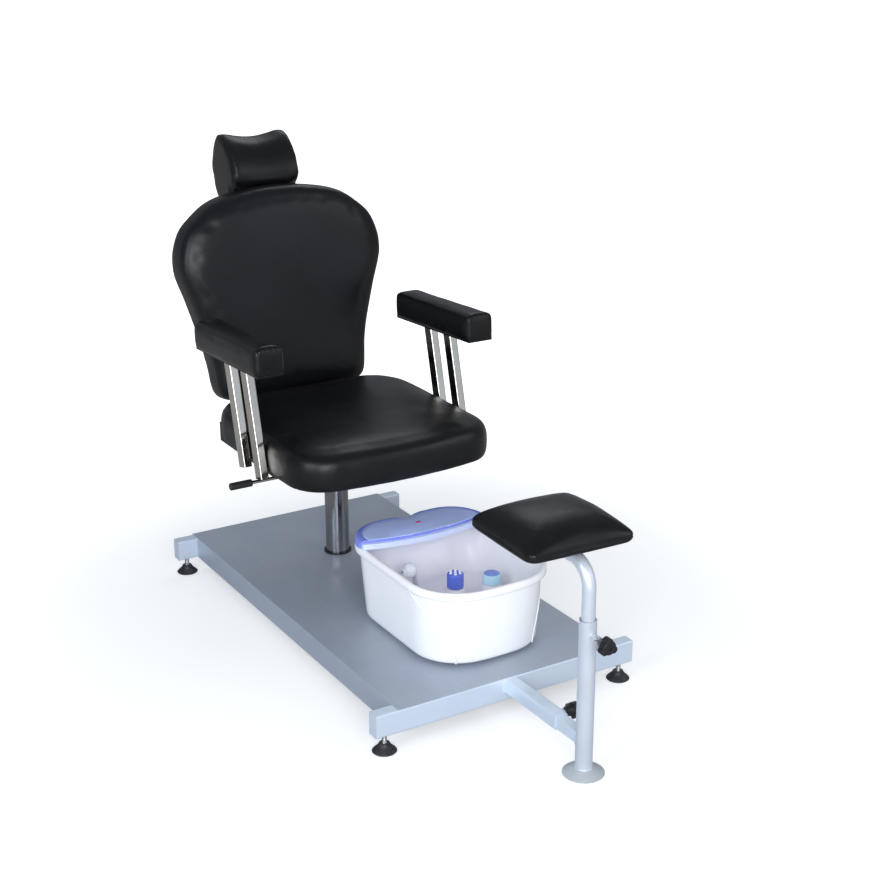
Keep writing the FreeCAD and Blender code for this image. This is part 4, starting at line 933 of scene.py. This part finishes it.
def make_arm_pad(side, name):
    def place(point):
        x, y, z = point
        return Vector((side * pad_x + x, pad_front + y * cos(pad_slope) + z * sin(pad_slope),
                       pad_low + z * cos(pad_slope) - y * sin(pad_slope)))

    def flatten(point):
        return tilt(Vector(point) - Vector((side * pad_x, pad_front, pad_low)), -pad_slope)

    ends = mm((10.5, 4.5), (4.8, 3.5), (3, 4.8), (2.4, 8.5), (2.4, 15))
    rows = ends + [(0.0026, pad_long * share) for share in (0.15, 0.3, 0.45, 0.6, 0.75, 0.88)]
    rows += [(inset, pad_long - y) for inset, y in reversed(ends)]
    rings = [[place(point) for point in pad_ring(
        pad_wide / 2.0 - inset, 0.0 if inset < 0.004 else inset * 0.6, pad_tall - inset, y)]
        for inset, y in rows]
    piece = cushion(name + "_arm_pad_cover", rings, "pad_vinyl")

    def over_board(point):
        flat = flatten(point)
        flat.z = max(flat.z, 0.0)
        return place(flat)

    stuff(piece, 0.0045, 0.0026, lambda point: flatten(point).z < 0.003, over_board)

    def gathers(point, normal):
        flat = flatten(point)
        shift = Vector()
        for end in (0.0, pad_long):
            near_end = abs(flat.y - end)
            if near_end < 0.016 and flat.z > 0.045:
                folds = max(0.0, cos(flat.x * 2.0 * pi / 0.0125)) ** 3
                depth = falloff(flat.z - 0.0625, 0.014) * falloff(near_end, 0.015)
                shift -= normal * (0.0019 * folds * depth)
            if near_end > 0.004 and abs(normal.y) < 0.7:
                shift -= normal * (0.0009 * falloff(near_end - 0.0075, 0.0030))
        if normal.z > 0.7:
            crown = falloff(flat.x, 0.032) * falloff(flat.y - pad_long / 2.0, 0.17)
            shift += Vector((0, 0, 0.0012 * crown + 0.0007 * noise.noise(flat * 22.0)))
        return shift

    press(piece, gathers)
    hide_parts(name + "_arm_pad")


# Footrest


def make_footrest_cushion():
    steps = mm((16, -9.8), (9, -9.4), (5, -7), (3.2, -2), (2.8, 4), (3.4, 8.5), (6, 13.2),
               (10.5, 18), (18, 24.5), (28, 31), (41, 37.8), (57, 43), (76, 46.6), (95, 48))
    rings = []
    for inset, rise in steps:
        corner = min(0.020 + 0.12 * inset, (rest_half - inset) * 0.8)
        rings.append(plan_ring(rest_half - inset, rest_front + inset,
                               rest_front + rest_long - inset, corner, corner, 0.0003,
                               rest_low + rise))
    piece = cushion("footrest_cushion_cover", rings, "rest_vinyl", "footrest")

    def on_board(point):
        point.z = max(point.z, rest_board_low)
        return point

    stuff(piece, 0.0045, 0.0045, lambda point: point.z < rest_low - 0.0075, on_board)

    def pulled_corners(point, normal):
        across = point.x / rest_half
        along = (point.y - rest_middle_y) / (rest_long / 2.0)
        corner = max(0.0, abs(across * along)) ** 1.6
        rise = clamp((point.z - rest_low) / 0.05)
        shift = Vector((0, 0, -0.0050 * corner * rise * 2.0))
        if point.z > rest_low + 0.001:
            side_pull = Vector((-across * (1.0 - along * along),
                                -along * (1.0 - across * across), 0))
            shift += side_pull * (0.0030 * falloff(rise - 0.2, 0.7))
        if normal.z > 0.3:
            soft = noise.noise(point * 17.0) * 0.0008
            ridge = falloff(abs(across) - abs(along), 0.16) * max(0.0, abs(across) - 0.25)
            shift += normal * (soft + 0.0022 * ridge)
        return shift

    press(piece, pulled_corners)
    for vertex in piece.data.vertices:
        across, along = vertex.co.x, vertex.co.y - rest_middle_y
        vertex.co.x = across * cos(rest_twist) - along * sin(rest_twist)
        vertex.co.y = rest_middle_y + across * sin(rest_twist) + along * cos(rest_twist)
        vertex.co.z = max(vertex.co.z, rest_board_low)
    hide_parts("footrest_cushion", "footrest_board")


def square_line(half, low, high, steps):
    """x, z, side and step along the outline of a square tube seen from its end."""
    corners = ((-half, low), (half, low), (half, high), (-half, high))
    for side, (x, z) in enumerate(corners):
        x2, z2 = corners[(side + 1) % 4]
        for step in range(steps):
            share = step / steps
            yield x + (x2 - x) * share, z + (z2 - z) * share, side, step


def make_welds():
    """Painted fillet welds where the footrest's tubes meet the beam, the flange and each other."""
    front_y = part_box("front_beam")[0].y
    socket = [(x, front_y - 0.0006 + 0.00025 * sin(step * 2.1 + side), z)
              for x, z, side, step in square_line(*socket_size, 24)]
    tube_along("socket_weld", socket, 0.0021, "beam_coat", "base", "base_powder_coat")
    flange = []
    for step in range(72):
        turn = 2.0 * pi * step / 72.0
        radius = 0.0172 + 0.0002 * sin(step * 2.3)
        flange.append((radius * cos(turn), mast_y + radius * sin(turn), flange_top))
    tube_along("flange_weld", flange, 0.0018, "pole_coat", "footrest_carriage",
               "base_powder_coat")
    slide = [(x, mast_y + sqrt(sleeve_radius ** 2 - x ** 2) + 0.0004, z)
             for x, z, _, _ in square_line(*slide_bar_size, 20)]
    tube_along("slide_bar_weld", slide, 0.0018, "beam_coat", "footrest_carriage",
               "base_powder_coat")


# Foot bath


def bath_ring(inset, z, rear_inset=0.0):
    """The bath's outline at a height, splayed like its walls and drawn in by inset."""
    rise = (z - bath_base) / (bath_rim - bath_base)
    half = bath_half + bath_splays[0] * rise - inset
    front = bath_front - bath_splays[1] * rise + inset
    rear = bath_rear + bath_splays[2] * rise - inset - rear_inset
    ring = plan_ring(half, front, rear, max(bath_corners[0] - inset, 0.01),
                     max(bath_corners[1] - inset, 0.01), 0.0015, z)
    return [(x + bath_x, y, height) for x, y, height in ring]


def turned_rings(profile, centre, low, sides, wave=0.0, waves=0):
    """Rings from (radius, rise) points above low; wave flutes the side waves times round."""
    rings = []
    for radius, rise in profile:
        ring = []
        for step in range(sides):
            turn = 2.0 * pi * step / sides
            out = radius * (1.0 + wave * cos(turn * waves))
            ring.append((centre[0] + out * cos(turn), centre[1] + out * sin(turn), low + rise))
        rings.append(ring)
    return rings


def make_studs(name, places, profile, low, sides, look, body):
    """Small turned studs of one profile, as one piece."""
    vertices, faces = [], []
    for place in places:
        more, flats = stack_rings(turned_rings(profile, place, low, sides))
        faces += [tuple(len(vertices) + index for index in flat) for flat in flats]
        vertices += more
    make_piece(name, vertices, faces, look, body, "white_plastic")


def make_bath_shell():
    """The outer wall, from the turned-in foot up to the underside of the rim."""
    steps = mm((30, 96.8), (12, 96.6), (6.5, 97), (3, 98.5), (0.8, 102), (0.1, 108), (0, 125),
               (0, 160), (0, 200), (0, 230), (0, 250), (0, 252.2), (2.4, 252.2), (2.5, 200),
               (2.5, 130), (3.5, 104), (9, 99.5), (30, 99))
    rings = [bath_ring(*step) for step in steps]
    vertices, faces = stack_rings(rings, False, False)
    count = len(rings[0])
    middle = len(vertices)
    last = middle - count
    centre = Vector((bath_x, (bath_front + bath_rear) / 2.0, 0.0968))
    vertices += [centre, centre + Vector((0, 0, bath_wall))]
    for index in range(count):
        following = (index + 1) % count
        faces.append((following, index, middle))
        faces.append((last + index, last + following, middle + 1))
    shell = make_piece("bath_outer_shell", vertices, faces, "white", "foot_bath", "white_plastic")
    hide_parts("bath_shell")


def make_bath_basin():
    """The rolled rim and the well hung inside it, with studs and two plinths on its floor."""
    steps = mm((-7, 248), (-9.2, 247), (-10, 248.5), (-10.1, 253), (-9.8, 257.5), (-8.5, 261),
               (-6, 263), (-3, 263.4), (0, 262.5), (2.5, 260), (4.2, 256), (6, 248), (8, 230),
               (10.5, 208), (13, 190), (16.5, 178), (20.5, 169), (25, 162), (30, 158.5),
               (37, 157.5), (60, 157.5), (90, 157.5))
    rings = [bath_ring(inset, z, 0.014 + 0.042 * clamp((0.2600 - z) / 0.1025)
                       if inset > 0.003 else 0.0) for inset, z in steps]
    basin = bath_piece("bath_well", rings, "basin", close_low=False)
    modify(basin, "moulded_wall", "SOLIDIFY", thickness=bath_wall, offset=-1.0,
           use_even_offset=True)
    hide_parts("bath_basin")

    studs = []
    for row in range(5):
        for column in range(7):
            x = bath_x - 0.088 + column * stud_pitch[0] + (0.014 if row % 2 else 0.0)
            y = bath_front + 0.058 + row * stud_pitch[1]
            far = min(hypot(x - place[0], y - place[1]) for place in (nodule_place, cap_place))
            if far > stud_clearance and abs(x - bath_x) < 0.098:
                studs.append((x, y))
    make_studs("bath_floor_studs", studs, mm((5.2, 0), (4.4, 1.6), (3, 3), (1.2, 3.7)),
               basin_floor, 12, "basin", "foot_bath")
    plinth = mm((25.8, 0.1), (22.8, 1.5), (21.8, 4.5), (21.8, 23), (20.6, 25.3), (18.8, 26),
                (6, 26))
    for name, place in (("nodule", nodule_place), ("cap", cap_place)):
        rings = turned_rings(plinth, place, basin_floor, 40)
        bath_piece("bath_" + name + "_plinth", rings, "basin")


def make_nodule_head():
    """The fluted massage head with its seven white nodules."""
    profile = mm((15, 0), (17, 0.6), (17.8, 2.2), (18, 6), (18, 28), (17.6, 31.2), (16.6, 33),
                 (15, 34), (8, 34.1))
    head = ring_piece("bath_nodule_head_body",
                      turned_rings(profile, nodule_place, turned_foot, 84, 0.012, 14), "deep_blue",
                      "bath_nodule_head", "dark_blue_plastic")
    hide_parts("bath_nodule_head")
    x, y = nodule_place
    places = [(x, y)] + [(x + 0.0115 * cos(pi * k / 3), y + 0.0115 * sin(pi * k / 3))
                         for k in range(6)]
    nodule = mm((3.6, 0), (3.5, 1.2), (2.9, 2.4), (1.8, 3.1), (0.6, 3.4))
    make_studs("bath_nodules", places, nodule, turned_foot + 0.0338, 16, "nub", "bath_nodule_head")


def make_round_cap():
    """The pale flared ring with its darker domed top."""
    ring = mm((18.8, 0), (20.3, 0.8), (20.5, 3), (19.8, 10), (19, 17), (18.6, 20.5), (17.8, 21.8),
              (16, 22))
    top = mm((17, 21.6), (16.8, 22.6), (15.5, 23.2), (10, 23.4), (4, 23.2))
    for name, profile, look in (("ring", ring, "pale_blue"), ("top", top, "cap_top")):
        rings = turned_rings(profile, cap_place, turned_foot, 48)
        part = ring_piece("bath_round_cap_" + name, rings, look, "bath_round_cap",
                          "light_blue_plastic")
        if name == "ring":
            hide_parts("bath_round_cap")


def make_roller():
    """The grooved white roller between its cheeks, on a dark axle."""
    x0, y0, z0 = roller_place

    def axle_ring(x, radius, sides):
        turns = [2.0 * pi * k / sides for k in range(sides)]
        return [(x0 + x, y0 + radius * cos(turn), z0 + radius * sin(turn)) for turn in turns]

    rings = []
    for share in range(-12, 13):
        x = share / 12.0 * 0.0126
        groove = 0.0009 * (cos(x * 1100.0) > 0.6)
        rings.append(axle_ring(x, sqrt(max(roller_radius ** 2 - x * x, 0.0)) - groove, 40))
    roller = bath_piece("bath_massage_roller", rings, "nub", "bath_roller")
    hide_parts("bath_roller")
    half = 0.0102
    for side, name in ((-1.0, "right"), (1.0, "left")):
        ends = mm((12.8, 2.4), (17.6, 2.4), (18, 2))
        bath_piece("bath_axle_end_" + name,
                   [axle_ring(side * out, radius, 16) for out, radius in ends], "black",
                   "bath_roller")
        rings = []
        for out, trim in mm((13.7, 0.6), (14.3, 0), (16.9, 0), (17.5, 0.6)):
            x = x0 + side * out
            foot = [(x, y0 - half + trim, basin_floor - 0.001),
                    (x, y0 + half - trim, basin_floor - 0.001)]
            turns = [pi * k / 12 for k in range(13)]
            rings.append(foot + [(x, y0 + (half - trim) * cos(turn),
                                  z0 + (0.0075 - trim) * sin(turn)) for turn in turns])
        bath_piece("bath_roller_cheek_" + name, rings, "nub")


def make_bath_cover():
    """The lavender rear cover: a domed skin, a field set off by a groove, a dip for fingers."""
    steps = mm((-9.7, 0.4), (-9.6, 4.5), (-8.8, 8.8), (-7.2, 12.2), (-4.5, 15), (-1, 16.8),
               (4, 17.6), (7, 17.8), (7.8, 16.8), (9.8, 16.8), (10.6, 17.9), (15, 18.4), (26, 18.7),
               (40, 18.9), (60, 19))
    edge_rings = 8
    rings = []
    for inset, rise in steps:
        ring = []
        for x, y, _ in bath_ring(inset, bath_rim):
            notch = falloff(x - bath_x, 0.042) if y > bath_rear - 0.01 else 0.0
            limit = bath_rear + 0.0268 - 0.0125 * notch - 0.35 * (inset + cover_overhang)
            drop = 0.0045 * notch * falloff(inset + cover_overhang, 0.045)
            front = cover_front + 0.078 * ((x - bath_x) / 0.261) ** 2
            ring.append((x, max(min(y, limit), front), bath_rim + rise - drop))
        rings.append(ring)
    cover = ring_piece("bath_rear_cover", rings, "cover_edge", "foot_bath", "periwinkle_plastic",
                       close_low=False)
    cover.data.materials.append(FINISHES["cover"])
    for face in cover.data.polygons:
        face.material_index = 1 if face.index // len(rings[0]) >= edge_rings else 0
    tidy_mesh(cover.data, merge=True)
    modify(cover, "moulded_edge", "BEVEL", width=0.0008, segments=2, limit_method="ANGLE",
           angle_limit=radians(50.0))
    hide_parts("bath_cover")


def make_wall_seam():
    """The raised curved line on the bath's side, from the rim to the foot."""
    marks = mm((-129.7, -244.6, 247.6), (-129.4, -260.6, 238.4), (-128.1, -285.5, 225.8),
               (-119.9, -312.2, 204.9), (-104.9, -335.1, 180.7), (-91.3, -347.1, 152.2),
               (-77.5, -355.2, 118.8), (-75.2, -355.1, 99))
    for side, name in ((1.0, "right"), (-1.0, "left")):
        line = [(bath_x + side * (x - bath_x), y, z) for x, y, z in smooth_line(marks, 10)]
        tube_along("bath_wall_seam_" + name, line, 0.0019, "white", "foot_bath", "white_plastic",
                   12, False)


# Camera, light and floor


def add_to_scene(name, data):
    thing = bpy.data.objects.new(name, data)
    bpy.context.scene.collection.objects.link(thing)
    return thing


def make_camera():
    data = bpy.data.cameras.new("photograph_camera")
    data.sensor_width = 36.0
    data.lens = camera_focal_pixels / picture_pixels * data.sensor_width
    data.clip_start = 0.05
    data.clip_end = 200.0
    camera = add_to_scene("photograph_camera", data)
    turn = (Matrix.Rotation(camera_turn, 4, "Z") @ Matrix.Rotation(pi / 2.0 - camera_tilt, 4, "X")
            @ Matrix.Rotation(camera_roll, 4, "Z"))
    camera.matrix_world = Matrix.Translation(camera_place) @ turn
    bpy.context.scene.camera = camera


def make_lamps():
    for name, (place, target, width, height, power, colour) in lamps.items():
        data = bpy.data.lights.new(name, "AREA")
        data.shape = "RECTANGLE"
        data.size = width
        data.size_y = height
        data.energy = power
        data.color = colour
        lamp = add_to_scene(name, data)
        lamp.location = place
        view = Vector(target) - Vector(place)
        lamp.rotation_euler = view.to_track_quat("-Z", "Y").to_euler()


def begin_shader(owner):
    """The emptied node tree of a world or a material."""
    owner.use_nodes = True
    owner.node_tree.nodes.clear()
    shader = Shader(owner.node_tree)
    return shader, shader.put("LightPath").outputs


def make_world():
    """A pale room that lights the bench, seen as plain white."""
    world = bpy.data.worlds.new("studio_room")
    shader, rays = begin_shader(world)
    room = shader.put("Background", Color=(0.86, 0.92, 1.0),
                      Strength=shader.between(rays["Is Glossy Ray"], 0.0, 1.0, 0.46, 0.27))
    backdrop = shader.put("Background", Color=(1, 1, 1), Strength=1.0)
    mixed = shader.put("MixShader")
    seen = shader.maths("MAXIMUM", rays["Is Camera Ray"], rays["Is Transmission Ray"])
    for value, socket in zip((seen, room.outputs[0], backdrop.outputs[0]), mixed.inputs):
        shader.join(value, socket)
    shader.put("OutputWorld", Surface=mixed.outputs[0])
    bpy.context.scene.world = world


def make_floor():
    """A pale floor that glows towards white with the distance from the bench."""
    mesh = bpy.data.meshes.new("studio_floor")
    mesh.from_pydata([(x * floor_half, y * floor_half, floor_z)
                      for x, y in ((-1, -1), (1, -1), (1, 1), (-1, 1))], [], [(0, 1, 2, 3)])
    floor = add_to_scene("studio_floor", mesh)
    material = bpy.data.materials.new("pale_floor")
    shader, rays = begin_shader(material)
    paint = shader.put("BsdfDiffuse",
                       Color=shader.between(rays["Is Glossy Ray"], 0.0, 1.0, 0.80, 0.24))
    mirrored = shader.times(rays["Is Glossy Ray"], 0.26)
    seen = shader.maths("MAXIMUM", rays["Is Camera Ray"], mirrored)
    far = shader.put("VectorMath", {"operation": "LENGTH"})
    shader.join(shader.put("NewGeometry").outputs["Position"], far.inputs[0])
    seen = shader.times(seen, shader.between(far.outputs["Value"], 0.6, 1.9, 0.40, 1.0))
    glow = shader.put("Emission", Color=(1, 1, 1), Strength=seen)
    both = shader.put("AddShader")
    for part, socket in zip((paint, glow), both.inputs):
        shader.join(part.outputs[0], socket)
    shader.put("OutputMaterial", Surface=both.outputs[0])
    mesh.materials.append(material)


make_camera()
make_lamps()
make_world()
make_floor()
bpy.context.scene.view_settings.view_transform = "Standard"
make_seat_cushion()
make_back_cushion()
make_back_lining()
make_headrest_cushion()
make_arm_pad(-1.0, "right")
make_arm_pad(1.0, "left")
make_footrest_cushion()
make_bath_shell()
make_bath_basin()
make_bath_cover()
make_wall_seam()
make_nodule_head()
make_round_cap()
make_roller()
make_welds()
